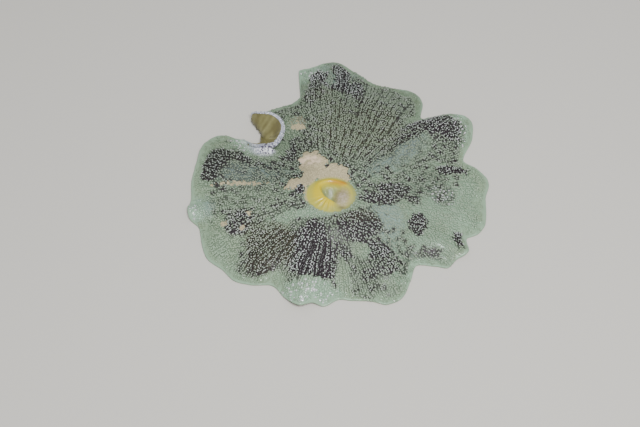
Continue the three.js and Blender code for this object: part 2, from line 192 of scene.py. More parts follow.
@dataclass(frozen=True)
class Station:
    """One place round the curled margin: its rim round the funnel, and its hem on the disc."""

    around: float
    rim_radius: float
    rim: float
    bearing: float
    reach: float
    hem: float


STATIONS = (
    Station(-166, 29.5, 10, 142, 155, 10), Station(-137, 25, 13, 141.8, 140.5, 13),
    Station(-114, 26.6, 18, 141.5, 130, 18), Station(-91, 29.3, 24, 140.8, 119, 24),
    Station(-71, 33, 28, 138.4, 109.4, 27.5), Station(-51, 32, 31, 136.6, 111.5, 14),
    Station(-29, 30.7, 33, 135, 117, 10), Station(-4, 29.4, 34, 133.2, 125, 7.5),
    Station(21, 26.8, 34, 131.8, 133, 6.5), Station(49, 25.1, 33, 130.5, 141, 6),
    Station(78, 25.1, 31, 129.7, 149, 5.5), Station(100, 28.8, 27, 129.1, 158, 5),
    Station(115, 37, 19, 128.6, 168, 4.5),
)

FOLDS = (
    Fold(92, 9, 14, 0.4, 0.85, 0.95), Fold(79, 3.5, -4, 0.35, 0.8, 1), Fold(66, 10, 6, 0.45, 0.8, 0.35),
    Fold(50, 5, -3, 0.3, 0.7, 1), Fold(37, 8, 20, 0.2, 0.8, 0.85), Fold(8, 12, 7, 0.45, 0.8, 0.35),
    Fold(352, 6, 5, 0.5, 0.85, 0.5), Fold(336, 7, 11, 0.5, 0.9, 0.9), Fold(303, 12, 10, 0.4, 0.8, 0.45),
    Fold(288, 4.5, -3, 0.3, 0.8, 1), Fold(276, 3.5, -3, 0.3, 0.8, 0.6), Fold(256, 10, 16, 0.45, 0.9, 1),
    Fold(225, 12, 6, 0.4, 0.75, 0.3), Fold(199, 7, 6, 0.5, 0.85, 0.6), Fold(185, 4.5, 14, 0.75, 1, 1),
    Fold(177, 4, -3, 0.3, 0.7, 0.8), Fold(157, 12, 16, 0.35, 0.8, 0.6), Fold(112, 9, 5, 0.4, 0.8, 0.4),
)

# Bearing and reach of each turn of the margin, lobe by lobe, anticlockwise from the bay.
MARGIN_TURNS = (
    (142.3, 170), (143.6, 183), (147, 193.7), (153, 198), (160.9, 193.4), (170, 191.2),
    (178.4, 186.8), (184.2, 189.7), (187.4, 189), (193.4, 177.5), (207, 181.3),
    (217.3, 171.5), (222, 170.8), (230, 160), (239.6, 144.3), (248, 153.2), (255.5, 160),
    (262, 151.4), (266.4, 153), (274.5, 143.7), (279.5, 146.5), (289, 153.8), (296, 166.8),
    (301, 168.3), (311, 156), (319, 146.3), (324.9, 168), (326.9, 181), (331.5, 184.5), (337, 195),
    (342.4, 187.5), (346, 201), (351, 208.5), (1, 209.3), (8, 218), (14.8, 208.6), (19.4, 195.8),
    (28, 227), (32.5, 236.5), (39.5, 218), (42.6, 203.5), (46.6, 190), (51, 212.5), (56, 220.5),
    (64, 213), (70.5, 209), (80.5, 224.5), (86.5, 236), (96.7, 227), (101, 229), (102.2, 205),
    (103.5, 180), (110, 172), (122.5, 175), (127.4, 177), (128, 172),
)


@dataclass(frozen=True)
class Disc:
    """The oral disc as heights over the floor, without its coat of tentacles."""

    lip_x: float = 32.0
    lip_y: float = 26.0
    basin: float = 26.0
    margin: float = 3.6
    dome_power: float = 1.15
    even_window: float = 24.0
    settle: float = 6.0
    settle_start: float = 0.7
    lowest: float = 3.4
    crest: float = 5.0
    crest_radius: float = 50.0
    crest_width: float = 16.0
    crest_bearing: float = 270.0
    crest_bias: float = 0.35
    flesh_at_lip: float = 11.0
    flesh_at_edge: float = 3.6
    coat: float = 4.5
    pressed_coat: float = 1.2
    funnel: tuple[float, float] = (-92.0, 104.0)
    funnel_reach: float = 40.0
    shoulder: float = 8.0

    @cached_property
    def hem_angles(self) -> Array:
        """Angles round the funnel at which the hem is drawn: each station, and once between."""
        around = np.array([s.around for s in STATIONS], float)
        return np.sort(np.concatenate([around, (around[1:] + around[:-1]) / 2]))

    def curl(self, key: str) -> Curve:
        """The curve of one of the curl's measures round the funnel."""
        return Curve([(s.around, getattr(s, key)) for s in STATIONS])

    @cached_property
    def outline(self) -> Curve:
        """Reach of the margin, or of the hem, over a little more than one turn."""
        bearing, reach = self.curl("bearing"), self.curl("reach")
        hem = [(float(bearing(a)), float(reach(a))) for a in self.hem_angles]
        turns = sorted([*MARGIN_TURNS, *hem])
        lap = [(b - TURN, r) for b, r in turns[-3:]] + turns + [(b + TURN, r) for b, r in turns[:3]]
        return Curve(lap)

    def reach(self, bearing: Array) -> Array:
        """Distance from the mouth's centre to the margin, or to the curl's hem."""
        return self.outline(np.mod(bearing, TURN))

    def lip(self, bearing: Array) -> Array:
        """Distance from the mouth's centre to the outer edge of the lips."""
        angle = np.radians(bearing)
        return 1 / np.hypot(np.cos(angle) / self.lip_x, np.sin(angle) / self.lip_y)

    def even_reach(self, bearing: Array) -> Array:
        """The margin's reach, evened out over its notches."""
        turns = np.linspace(-1, 1, 9) * self.even_window
        return sum(self.reach(np.asarray(bearing) + turn) for turn in turns) / len(turns)

    def radius(self, bearing: Array, out: Array, reach: Array | None = None) -> Array:
        """Distance from the mouth's centre at a share of the way out.

        Args:
            bearing: Bearings of the points.
            out: 0 at the lips, 1 at the margin.
            reach: Where the way ends, if not at the margin.

        Returns:
            The distances. Only the outer part follows the notches of the margin.
        """
        even = self.even_reach(bearing)
        reach = self.reach(bearing) if reach is None else reach
        return lerp(self.lip(bearing), even, out) + (reach - even) * out**2

    def out(self, bearing: Array, radius: Array) -> Array:
        """Share of the way from the lips to the margin; the inverse of `radius`."""
        even, lip = self.even_reach(bearing), self.lip(bearing)
        bend, slope, rest = self.reach(bearing) - even, even - lip, lip - radius
        root = np.sqrt(np.maximum(slope**2 - 4 * bend * rest, 0.0))
        return np.clip(-2 * rest / (slope + root), 0.0, 1.05)

    def shouldered(self, x: Array, y: Array, height: Array) -> Array:
        """Raises heights towards the hem of the curl, near it."""
        bearing, reach, level = (self.curl(key)(self.hem_angles) for key in ("bearing", "reach", "hem"))
        hx, hy = polar(bearing, reach)
        best = np.full(np.shape(x), np.inf)
        found = np.zeros(np.shape(x))
        for i in range(len(hx) - 1):
            ax, ay = hx[i + 1] - hx[i], hy[i + 1] - hy[i]
            share = np.clip(((x - hx[i]) * ax + (y - hy[i]) * ay) / (ax * ax + ay * ay), 0, 1)
            away = np.hypot(x - hx[i] - share * ax, y - hy[i] - share * ay)
            found = np.where(away < best, lerp(level[i], level[i + 1], share), found)
            best = np.minimum(best, away)
        return height + np.maximum(found - height, 0) * bell(best / self.shoulder)

    def height(self, bearing: Array, out: Array) -> Array:
        """Height of the disc without its ring ridge."""
        radius = self.radius(bearing, out)
        lip, even = self.lip(bearing), self.even_reach(bearing)
        share = np.maximum(1 - (radius - lip) / (even - lip), 0)
        total = self.margin + (self.basin - self.margin) * share**self.dome_power
        for fold in FOLDS:
            off = np.mod(bearing - fold.bearing + TURN / 2, TURN) - TURN / 2
            rise = smooth(fold.start, fold.full, out)
            fall = 1 - (1 - fold.at_margin) * smooth(fold.full, 1.001, out)
            total = total + fold.height * bell(off / fold.width) * rise * fall
        total = total - self.settle * smooth(self.settle_start, 1, out)
        return self.shouldered(*polar(bearing, radius), np.maximum(total, self.lowest))

    def oral(self, bearing: Array, out: Array) -> Array:
        """Height of the oral side, with the low ring ridge round the mouth."""
        side = 1 - self.crest_bias + self.crest_bias * np.cos(np.radians(bearing - self.crest_bearing))
        off = (self.radius(bearing, out) - self.crest_radius) / self.crest_width
        return self.height(bearing, out) + self.crest * side * bell(off)

    def thickness(self, out: Array) -> Array:
        """Thickness of the flesh between the oral and the aboral side."""
        return lerp(self.flesh_at_lip, self.flesh_at_edge, smooth(0, 0.9, out))

    def under(self, bearing: Array, out: Array) -> Array:
        """Height of the aboral side, which nowhere lies below the floor."""
        return np.maximum(self.height(bearing, out) - self.thickness(out), 0)

    def pressed(self, x: Array, y: Array) -> Array:
        """Share of its height that the coat keeps where the curl lies over the disc."""
        away = np.hypot(x - self.funnel[0], y - self.funnel[1])
        clear = smooth(self.funnel_reach - 14, self.funnel_reach, away)
        return lerp(self.pressed_coat / self.coat, 1, clear)


@dataclass(frozen=True)
class Curl:
    """The stretch of margin that stands up and folds back over the disc like a funnel."""

    disc: Disc
    bulge: float = 6.0
    rim_rise: float = 8.0
    rim_lean: float = 4.0
    full_wall: float = 20.0
    first: float = -166.0
    last: float = 115.0

    def hem(self, around: Array) -> Array:
        """Places of the hem on the oral side, at angles round the funnel."""
        bearing, reach = self.disc.curl("bearing")(around), self.disc.curl("reach")(around)
        return np.stack([*polar(bearing, reach), self.disc.oral(bearing, np.ones_like(bearing))], -1)

    def rim(self, around: Array) -> Array:
        """Places of the rim, at angles round the funnel."""
        x, y = polar(around, self.disc.curl("rim_radius")(around))
        fx, fy = self.disc.funnel
        return np.stack([x + fx, y + fy, self.disc.curl("rim")(around)], -1)

    def point(self, around: Array, up: Array, share: Array | float = 1.0) -> Array:
        """Places on the curl's oral side.

        Args:
            around: Angles round the funnel.
            up: 0 at the hem, 1 at the rim.
            share: How much of the wall stands; 0 leaves the hem alone.

        Returns:
            The places, one row for each angle.
        """
        hem = self.hem(around)
        rim = lerp(hem, self.rim(around), np.asarray(share)[..., None])
        along = self.hem(around + 1) - self.hem(around - 1)
        across = unit(np.stack([-along[..., 1], along[..., 0], np.zeros_like(along[..., 0])], -1))
        outward = np.stack([*polar(around, np.ones_like(around)), np.zeros_like(around)], -1)
        tall = np.clip((rim[..., 2] - hem[..., 2]) / self.full_wall, 0, 1)[..., None]
        turn = hem + across * self.bulge * tall
        upright = rim + outward * self.rim_lean * tall - np.array([0, 0, self.rim_rise]) * tall
        u = np.asarray(up)[..., None]
        return ((1 - u) ** 3 * hem + 3 * u * (1 - u) ** 2 * turn
                + 3 * u * u * (1 - u) * upright + u**3 * rim)


# ---- Markings -----------------------------------------------------------------------------------


class Mark(Enum):
    """What a patch of the oral disc does to its look."""

    PALE = "pale"
    DARK = "dark"
    BARE = "bare"
    OLIVE = "olive"
    BLUE = "blue"
    # The two marks below are painted light and painted shade, laid into the colour.
    LIGHT = "light"
    DIM = "dim"


@dataclass(frozen=True)
class Patch:
    """An oval patch: its centre, half sizes, turn in degrees, and level from 0 to 1."""

    mark: Mark
    x: float
    y: float
    half_x: float
    half_y: float
    turn: float
    level: float


def patches(mark: Mark, *ovals: tuple[float, ...]) -> list[Patch]:
    """Patches of one mark."""
    return [Patch(mark, *numbers) for numbers in ovals]


# Each is a centre, half sizes, a turn and a level. Where patches of dark and pale gaps, or two of one
# mark, overlap, the later one lies over the earlier one.
PATCHES = (
    *patches(
        Mark.PALE, (126, -14, 68, 63, 0, 0.11), (187, -10, 22, 63, 0, 0.03), (118, 20, 44, 22, 8, 0.43),
        (99, 66, 46, 17, 32, 0.3), (-34, -31, 41, 7, 6, 0.14), (44, -16, 41, 6, 13, 0.14),
        (-143, -64, 33, 38, 0, 0.05), (-171, -5, 14, 41, 0, 0.05), (42, 111, 71, 53, 0, 0.55),
        (-55, 93, 33, 34, 0, 0.55), (-110, 1, 52, 22, 0, 0.36), (-102, 34, 47, 10, -5, 0.4),
        (-146, 76, 30, 12, 10, 0.3), (-56, 112, 14, 22, 0, 0.2)
    ),
    *patches(
        Mark.DARK, (-83, -76, 27, 33, 0, 0.75), (-23, -84, 33, 39, 0, 1), (-80, -105, 11, 11, 0, 0.8),
        (37, -46, 28, 20, 0, 0.84), (56, -77, 22, 11, -28, 0.8), (17, -86, 8, 11, 0, 0.95),
        (74, -104, 20, 12, 8, 0.6), (50, -112, 11, 11, 0, 0.6), (34, -129, 16, 11, 0, 0.4),
        (114, -39, 12, 14, 0, 1), (171, -58, 10, 15, 0, 0.95)
    ),
    *patches(Mark.PALE, (144, -80, 26, 13, -32, 0.08)),
    *patches(Mark.DARK, (127, -81, 15, 10, 0, 0.57)),
    *patches(Mark.PALE, (86, -124, 26, 14, 20, 0.24)),
    *patches(
        Mark.DARK, (155, 116, 21, 27, 0, 0.88), (123, 117, 26, 9, 24, 0.95), (104, 93, 30, 9, 30, 0.66),
        (165, 44, 19, 7, 3, 0.97), (81, 7, 21, 13, 0, 0.85), (66, -7, 24, 9, 5, 0.66),
        (110, -4, 12, 8, -15, 0.6), (152, 5, 17, 18, 0, 0.45), (18, 214, 13, 25, -16, 0.99),
        (12, 186, 22, 13, 0, 0.92), (-16, 201, 17, 13, 15, 0.93), (40, 184, 9, 16, 0, 0.85),
        (-19, 175, 14, 19, -30, 0.65), (-146, 64, 18, 15, 10, 0.95), (-162, 47, 14, 16, 0, 0.9),
        (-58, 74, 14, 22, 20, 0.82), (-113, 62, 26, 10, 6, 0.75), (-78, 52, 24, 10, -10, 0.54),
        (-120, -36, 19, 22, 0, 0.65), (-84, 57, 24, 3.5, 25, 0.85)
    ),
    *patches(
        Mark.PALE, (2, 196, 6, 17, -8, 0.25), (16, -119, 9, 34, 0, 0.05), (-25, -132, 30, 16, 0, 0.02),
        (38, -79, 11, 10, 0, 0.1)
    ),
    *patches(Mark.DARK, (-40, 6, 7, 8, 0, 0.9)),
    *patches(
        Mark.BARE, (-22, 49, 21, 19, 0, 1), (6, 37, 18, 10, -12, 1), (-10, 31, 24, 9, 0, 1),
        (-29, 57, 14, 13, 0, 1), (-45, 15, 14, 8, 15, 1), (-28, 24, 8, 9, 0, 1),
        (-32, 0, 5, 11, 20, 0.9), (-40, 6, 6, 7, 0, 0), (20, 27, 6, 6, 0, 1),
        (-118, 22, 34, 2.4, -2, 0.8), (-46, 123, 14, 13, 0, 0.42), (-43, 114, 8, 5, 0, 0.8),
        (-139, -38, 4, 4, 0, 1), (-114, -45, 4, 4, 0, 1), (-108, -23, 3, 3, 0, 1)
    ),
    *patches(
        Mark.OLIVE, (42, 111, 62, 47, 0, 1), (-81, -70, 35, 34, 0, 1), (-3, 169, 24, 13, 0, 0.8),
        (33, -32, 33, 9, 0, 0.6)
    ),
    *patches(
        Mark.BLUE, (86, 66, 43, 19, 32, 1), (-102, 37, 50, 15, -5, 1), (73, -39, 24, 34, 0, 1),
        (2, 200, 42, 30, 0, 0.9), (-176, -11, 19, 19, 0, 1)
    ),
    # Painted light: patches of flesh made brighter where light falls on them.
    *patches(
        Mark.LIGHT, (150, -15, 58, 52, 0, 0.5), (-25, -136, 36, 20, 0, 0.85),
        (100, -88, 46, 30, 10, 0.6), (-178, -12, 14, 16, 0, 0.9), (180, 116, 13, 28, 0, 0.9),
        (-30, 214, 25, 19, 0, 0.85), (-120, 84, 20, 14, -20, 0.9), (-34, -31, 41, 9, 6, 0.5),
        (-28, 55, 15, 9, 0, 1), (150, 3, 20, 14, 0, 0.9)
    ),
    # Painted shade: patches of flesh made duller where less light falls.
    *patches(
        Mark.DIM, (-50, 84, 28, 24, 0, 0.9), (-90, 42, 62, 24, -5, 0.9), (96, 62, 50, 26, 30, 0.6),
        (110, 15, 60, 26, 10, 0.35), (-148, 60, 26, 24, 0, 0.95)
    ),
)


@dataclass(frozen=True)
class Markings:
    """Where the oral disc is dark, pale, bare or tinted, and where painted light and painted shade lie on
    it, for skin and coat alike.
    """

    SOFTNESS = {Mark.BARE: 0.1, Mark.DARK: 0.16, Mark.PALE: 0.14}

    # Width of the smooth margin by bearing, as a share of its usual width.
    MARGIN_SHARES = Curve([(0, 1), (11, 1), (17, 0.6), (22, 0.6), (28, 1), (34, 1), (39, 0.5), (46, 0.5),
                           (50, 1), (57, 1), (63, 0.4), (78, 0.4), (84, 0.9), (97, 1), (103, 0.45),
                           (120, 0.45), (128, 1), (275, 1), (284, 0.55), (318, 0.55), (325, 0.45),
                           (330, 0.45), (336, 0.45), (341, 1), (360, 1)])

    disc: Disc
    curl: Curl
    base_level: float = 0.45
    blotch: float = 0.11
    margin_width: float = 17.0
    margin_spread: float = 8.0
    band_width: float = 10.0
    roll_width: float = 17.0
    rim_level: float = 20.0
    band_end: tuple[float, float] = (-123.0, 86.0)
    free_margin: tuple[float, float] = (142.0, 488.2)
    usual_softness: float = 0.4

    @cached_property
    def wobbles(self) -> tuple[Mottle, Mottle, Mottle]:
        """Noise that frays the patches: broad, middling and fine."""
        return Mottle(24, 11), Mottle(8, 12), Mottle(4, 13)

    def mask(self, patch: Patch, x: Array, y: Array) -> Array:
        """Share of a patch at each place, frayed at its edge."""
        turn = math.radians(patch.turn)
        dx, dy = x - patch.x, y - patch.y
        along = (dx * math.cos(turn) + dy * math.sin(turn)) / patch.half_x
        across = (dy * math.cos(turn) - dx * math.sin(turn)) / patch.half_y
        size = min(patch.half_x, patch.half_y)
        broad, middling, fine = self.wobbles
        fray = 0.16 * broad(x, y) + 0.14 * middling(x, y) + 1.2 / size * fine(x, y)
        soft = self.SOFTNESS.get(patch.mark, self.usual_softness)
        return 1 - smooth(1 - soft, 1 + soft, np.hypot(along, across) + fray)

    def level(self, x: Array, y: Array, *marks: Mark) -> Array:
        """Level left by the patches of some marks, in their order."""
        gapped = Mark.DARK in marks
        total = np.full(np.shape(x), self.base_level if gapped else 0.0)
        for patch in PATCHES:
            if patch.mark in marks:
                total = lerp(total, patch.level, self.mask(patch, x, y))
        return total

    @cached_property
    def margin_tree(self) -> KDTree:
        """The free margin as points, for the distance to it."""
        bearing = np.linspace(*self.free_margin, 6000)
        return tree_of(np.stack([*polar(bearing, self.disc.reach(bearing)), 0 * bearing], -1))

    @cached_property
    def rim_tree(self) -> KDTree:
        """The curl's rim as points, for the distance to it."""
        return tree_of(self.curl.rim(np.linspace(self.curl.first, self.curl.last, 400)))

    def from_margin(self, x: Array, y: Array) -> Array:
        """Plan distance to the free margin."""
        return distances(self.margin_tree, np.stack([x, y, 0 * x], -1))

    def margin_share(self, x: Array, y: Array) -> Array:
        """Width of the smooth margin by bearing, as a share of its usual width."""
        return self.MARGIN_SHARES(np.mod(bearing_of(x, y), TURN))

    def from_lip(self, x: Array, y: Array) -> Array:
        """Distance outwards from the edge of the lips."""
        return np.hypot(x, y) - self.disc.lip(bearing_of(x, y))

    def edge(self, x: Array, y: Array) -> Array:
        """Smooth pale margin: 1 on the margin itself, 0 where the tentacled field begins."""
        broad, middling, _ = self.wobbles
        width = self.margin_width + self.margin_spread * broad(x, y) + 2.5 * middling(x, y)
        dark = smooth(0.75, 0.95, self.level(x, y, Mark.DARK, Mark.PALE))
        width = np.maximum(width, 5) * lerp(1, 0.55, dark) * self.margin_share(x, y)
        return 1 - smooth(0.55, 1.0, self.from_margin(x, y) / width)

    def dim(self, x: Array, y: Array) -> Array:
        """How much painted shade dulls the flesh: in a few patches, and towards the far side, away from
        the light.
        """
        far = smooth(60, 185, y) * (1 - 0.8 * self.level(x, y, Mark.LIGHT))
        return np.maximum(self.level(x, y, Mark.DIM), far)

    def rim_light(self, x: Array, y: Array) -> Array:
        """Painted highlight: a thin light line along the free margin, stronger towards the south."""
        line = 1 - smooth(0.8, 3.4, self.from_margin(x, y))
        return line * (0.55 + 0.35 * self.wobbles[0](x, y) + 0.3 * smooth(60, -60, y))

    def gaps(self, x: Array, y: Array, band: Array) -> Array:
        """How dark and open the gaps between the tentacles are; their darkness is partly the flesh's own
        colour and partly painted shade.
        """
        level = self.level(x, y, Mark.DARK, Mark.PALE)
        level = level + self.blotch * self.wobbles[1](x, y) * 4 * level * (1 - level)
        level = np.clip(level, 0, 1) * (1 - self.edge(x, y)) * (1 - band)
        level = level * smooth(0, 7, self.from_lip(x, y))
        flat = np.stack([x, y, np.full(np.shape(x), self.rim_level)], -1)
        away = distances(self.rim_tree, flat) + 2.5 * self.wobbles[1](x, y)
        south = smooth(100, 82, y)
        near, far = self.band_width * lerp(1, 1.3, south), self.roll_width * lerp(1, 1.35, south)
        return level * smooth(near, far, away)

    def band(self, places: Array) -> Array:
        """Whitish band along the curl's rim: 1 on the rim, 0 past its width or its west end."""
        width = self.band_width * lerp(1, 1.35, smooth(98, 80, places[..., 1]))
        near = 1 - smooth(0.6, 1.1, distances(self.rim_tree, places) / width)
        west, south = self.band_end
        return near * smooth(0, 20, places[..., 0] - west + 0.6 * (places[..., 1] - south))


def drifted(places: Array) -> Array:
    """Moves the lips a little off the centre of the disc, and the flesh round them with them."""
    away = np.hypot(places[..., 0], places[..., 1])
    near = np.exp(-((away / DRIFT_REACH) ** 6))[..., None]
    return places + near * np.array([*DRIFT, 0.0])


def tree_of(points: Array) -> KDTree:
    """A search tree of points."""
    tree = KDTree(len(points))
    for i, point in enumerate(points):
        tree.insert(point, i)
    tree.balance()
    return tree


def distances(tree: KDTree, places: Array) -> Array:
    """Distance from each place to the nearest point of a tree."""
    flat = places.reshape(-1, 3)
    found = np.fromiter((tree.find(place)[2] for place in flat), float, len(flat))
    return found.reshape(places.shape[:-1])


# ---- Meshes -------------------------------------------------------------------------------------


def clear_selection() -> None:
    """Leaves every object unselected, in object mode."""
    if bpy.context.object and bpy.context.object.mode != "OBJECT":
        bpy.ops.object.mode_set(mode="OBJECT")
    bpy.ops.object.select_all(action="DESELECT")


def places_of(mesh: bpy.types.Mesh) -> Array:
    """Vertex places of a mesh."""
    flat = np.empty(len(mesh.vertices) * 3)
    mesh.vertices.foreach_get("co", flat)
    return flat.reshape(-1, 3)


def numbers_of(items: bpy.types.bpy_prop_collection, name: str) -> Array:
    """One whole number of each item, such as a face's number of corners."""
    numbers = np.empty(len(items), int)
    items.foreach_get(name, numbers)
    return numbers


def set_places(mesh: bpy.types.Mesh, places: Array) -> None:
    """Moves the vertices of a mesh, from millimetres to metres."""
    mesh.vertices.foreach_set("co", (places * MM).astype(np.float32).ravel())
    mesh.update()


def set_attribute(mesh: bpy.types.Mesh, name: str, values: Array) -> None:
    """Stores one number for each vertex under a name that materials read."""
    layer = mesh.attributes.new(name, "FLOAT", "POINT")
    layer.data.foreach_set("value", np.asarray(values, np.float32).ravel())


def set_bake_map(mesh: bpy.types.Mesh, uv: Array) -> None:
    """Stores a UV place for each corner in the bake map."""
    while mesh.uv_layers:
        mesh.uv_layers.remove(mesh.uv_layers[0])
    layer = mesh.uv_layers.new(name="OFBake")
    layer.data.foreach_set("uv", np.asarray(uv, np.float32).ravel())


def copied_mesh(name: str, places: Array, faces: list[list[int]]) -> bpy.types.Mesh:
    """Makes one mesh of many copies of a shape.

    Args:
        name: Name of the mesh.
        places: Vertex places, as copies by vertices by axes.
        faces: Vertex numbers of each face of the shape.

    Returns:
        The mesh.
    """
    count, size = places.shape[:2]
    copy = np.arange(count)[:, None]
    totals = np.array([len(face) for face in faces])
    vertex = (np.concatenate(faces) + size * copy).ravel()
    start = (np.cumsum(totals) - totals + totals.sum() * copy).ravel()
    mesh = bpy.data.meshes.new(name)
    mesh.vertices.add(count * size)
    mesh.loops.add(len(vertex))
    mesh.polygons.add(len(start))
    mesh.loops.foreach_set("vertex_index", vertex.astype(np.int32))
    mesh.polygons.foreach_set("loop_start", start.astype(np.int32))
    set_places(mesh, places.reshape(-1, 3))
    mesh.update(calc_edges=True)
    return mesh


@dataclass
class SkinGrid:
    """Places and marks of the skin, ring by ring from the throat to the sole."""

    places: list[Array] = field(default_factory=list)
    marks: dict[str, list[Array]] = field(default_factory=dict)

    def add(self, places: Array, **marks: Array | float) -> None:
        """Adds rings.

        Args:
            places: Places, as rings by columns by axes.
            marks: Named marks, each one number or an array of rings by columns.
        """
        self.places.append(places)
        for name in Skin.MARKS:
            value = np.broadcast_to(np.asarray(marks.get(name, 0.0), float), places.shape[:2])
            self.marks.setdefault(name, []).append(value)


@dataclass(frozen=True)
class RimEdge:
    """The rounded edge of the curl's rim: its centre line, and the two ways round it."""

    centre: Array
    outward: Array
    ahead: Array
    half: Array

    def at(self, turn: float) -> tuple[Array, Array]:
        """Places and normals on the rounding, at an angle in radians from its oral side."""
        normal = math.cos(turn) * self.outward + math.sin(turn) * self.ahead
        return self.centre + normal * self.half[:, None], normal


@dataclass(frozen=True)
class Mouth:
    """The throat, the pleated lips round it, and the lump that lies in their east side."""

    disc: Disc
    rings: int = 24
    crowding: float = 0.8
    throat_level: float = 18.4
    crown: float = 2.0
    pleat: float = 0.5
    pleats: int = 21
    pleat_bearing: float = 238.0
    pleat_spread: float = 36.0
    tissue: float = 4.6
    lump_level: float = 28.6
    lump_fall: float = 0.027

    # By bearing: the crest of the lips, as a share of the way out to their edge.
    CREST = Curve([(0, 0.8), (40, 0.8), (90, 0.84), (132, 0.78), (158, 0.52), (180, 0.36), (225, 0.3),
                   (260, 0.36), (290, 0.5), (320, 0.72), (360, 0.8)])
    # By share of the way out to the crest: how far the wall of the throat has risen.
    CLIMB = Curve([(0, 0), (0.4, 0.03), (0.66, 0.3), (0.86, 0.84), (1, 1)])
    # By bearing: how yellow the crest is.
    YELLOW = Curve([(0, 0.08), (25, 0.3), (45, 0.9), (70, 1.05), (110, 1.0), (150, 1.05), (185, 1.1),
                    (215, 0.9), (245, 0.9), (264, 1.0), (284, 0.5), (304, 0.15), (330, 0.05), (360, 0.08)])
    # Golden places: weight, centre and half sizes.
    GOLD = ((0.85, (17, 17), (8.5, 4.4)), (0.3, (-18, 4), (6.0, 8.0)), (0.8, (3, 20), (11.0, 4.0)))

    def pleated(self, bearing: Array) -> Array:
        """Waves of the pleats, from -1 to 1, on the side of the lips that has them."""
        off = np.mod(bearing - self.pleat_bearing + TURN / 2, TURN) - TURN / 2
        wander = 60 * np.sin(np.radians(2 * bearing + 30))
        return np.sin(np.radians(self.pleats * bearing + wander)) * bell(off / self.pleat_spread)

    def lump(self, x: Array, y: Array) -> Array:
        """Share of the lump at each place."""
        return oval(x, y, (14.6, -4), (10.4, 15.2), 4)

    def heights(self, bearing: Array, ring: Array, inward: Array, outward: Array) -> Array:
        """Heights of the throat and the lips.

        Args:
            bearing: Bearings, one for each column.
            ring: Shares of the way from the middle to the edge of the lips.
            inward: Shares of the way from the middle to the crest.
            outward: Shares of the way from the crest to the edge.

        Returns:
            The heights, as rings by columns.
        """
        x, y = polar(bearing, self.disc.lip(bearing) * ring)
        base = self.disc.oral(bearing, np.zeros_like(bearing)) + 0 * ring
        west = 0.5 - 0.5 * np.cos(np.radians(bearing - 20))
        crown = self.crown + 0.9 * west + 0.4 * np.sin(np.radians(3 * bearing + 40))
        z = lerp(self.throat_level, base + crown, self.CLIMB(inward)) - crown * smooth(0, 1, outward)
        wave = self.pleated(bearing) * self.pleat
        z = z + wave * smooth(0, 0.25, outward) * (1 - smooth(0.7, 1, outward))
        z = z + self.tissue * oval(x, y, (0, 6), (3.4, 6.0)) * (1 + 0.1 * np.sin(x * 1.7))
        z = z + np.sin(x * 0.6 + y * 0.35) * (1 - smooth(0.5, 0.8, inward))
        top = self.lump_level - self.lump_fall * ((x - 14) ** 2 + (y + 3.5) ** 2)
        return lerp(z, top, self.lump(x, y) * 0.95)

    def add_to(self, grid: SkinGrid, bearing: Array) -> None:
        """Adds the rings of the throat and the lips.

        Args:
            grid: The skin, still without rings.
            bearing: Bearings, one for each column.
        """
        bearing = bearing[None, :]
        ring = np.linspace(0, 1, self.rings, endpoint=False)[:, None] ** self.crowding + 0 * bearing
        x, y = polar(bearing, self.disc.lip(bearing) * ring)
        turn = np.mod(bearing, TURN)
        crest = self.CREST(turn)
        inward = np.minimum(ring / crest, 1)
        outward = np.clip((ring - crest) / (1 - crest), 0, 1)
        lump = self.lump(x, y)
        ridge = bell(outward / 0.62) * bell((1 - inward) / 0.22) * (1 - lump)
        north = np.clip(np.sin(np.radians(bearing)), 0, 1)
        east = smooth(-0.2, 0.9, np.cos(np.radians(bearing + 12))) * smooth(0.1, 0.9, outward)
        inner = 1 - smooth(0.74 - 0.26 * north, 0.95 - 0.2 * north, inward)
        grid.add(
            np.stack([x, y, self.heights(bearing, ring, inward, outward)], -1),
            lip=1 - 0.45 * east * (1 - lump), lump=lump, cavity=inner * (1 - lump),
            ridge=ridge * self.YELLOW(turn) + 0.18 * self.pleated(bearing),
            fire=sum(weight * oval(x, y, *place) for weight, *place in self.GOLD),
            pearl=oval(x, y, (-0.5, 6), (3.4, 6.5), 4), aboral=oval(x, y, (14, -19), (4.8, 2.6)))


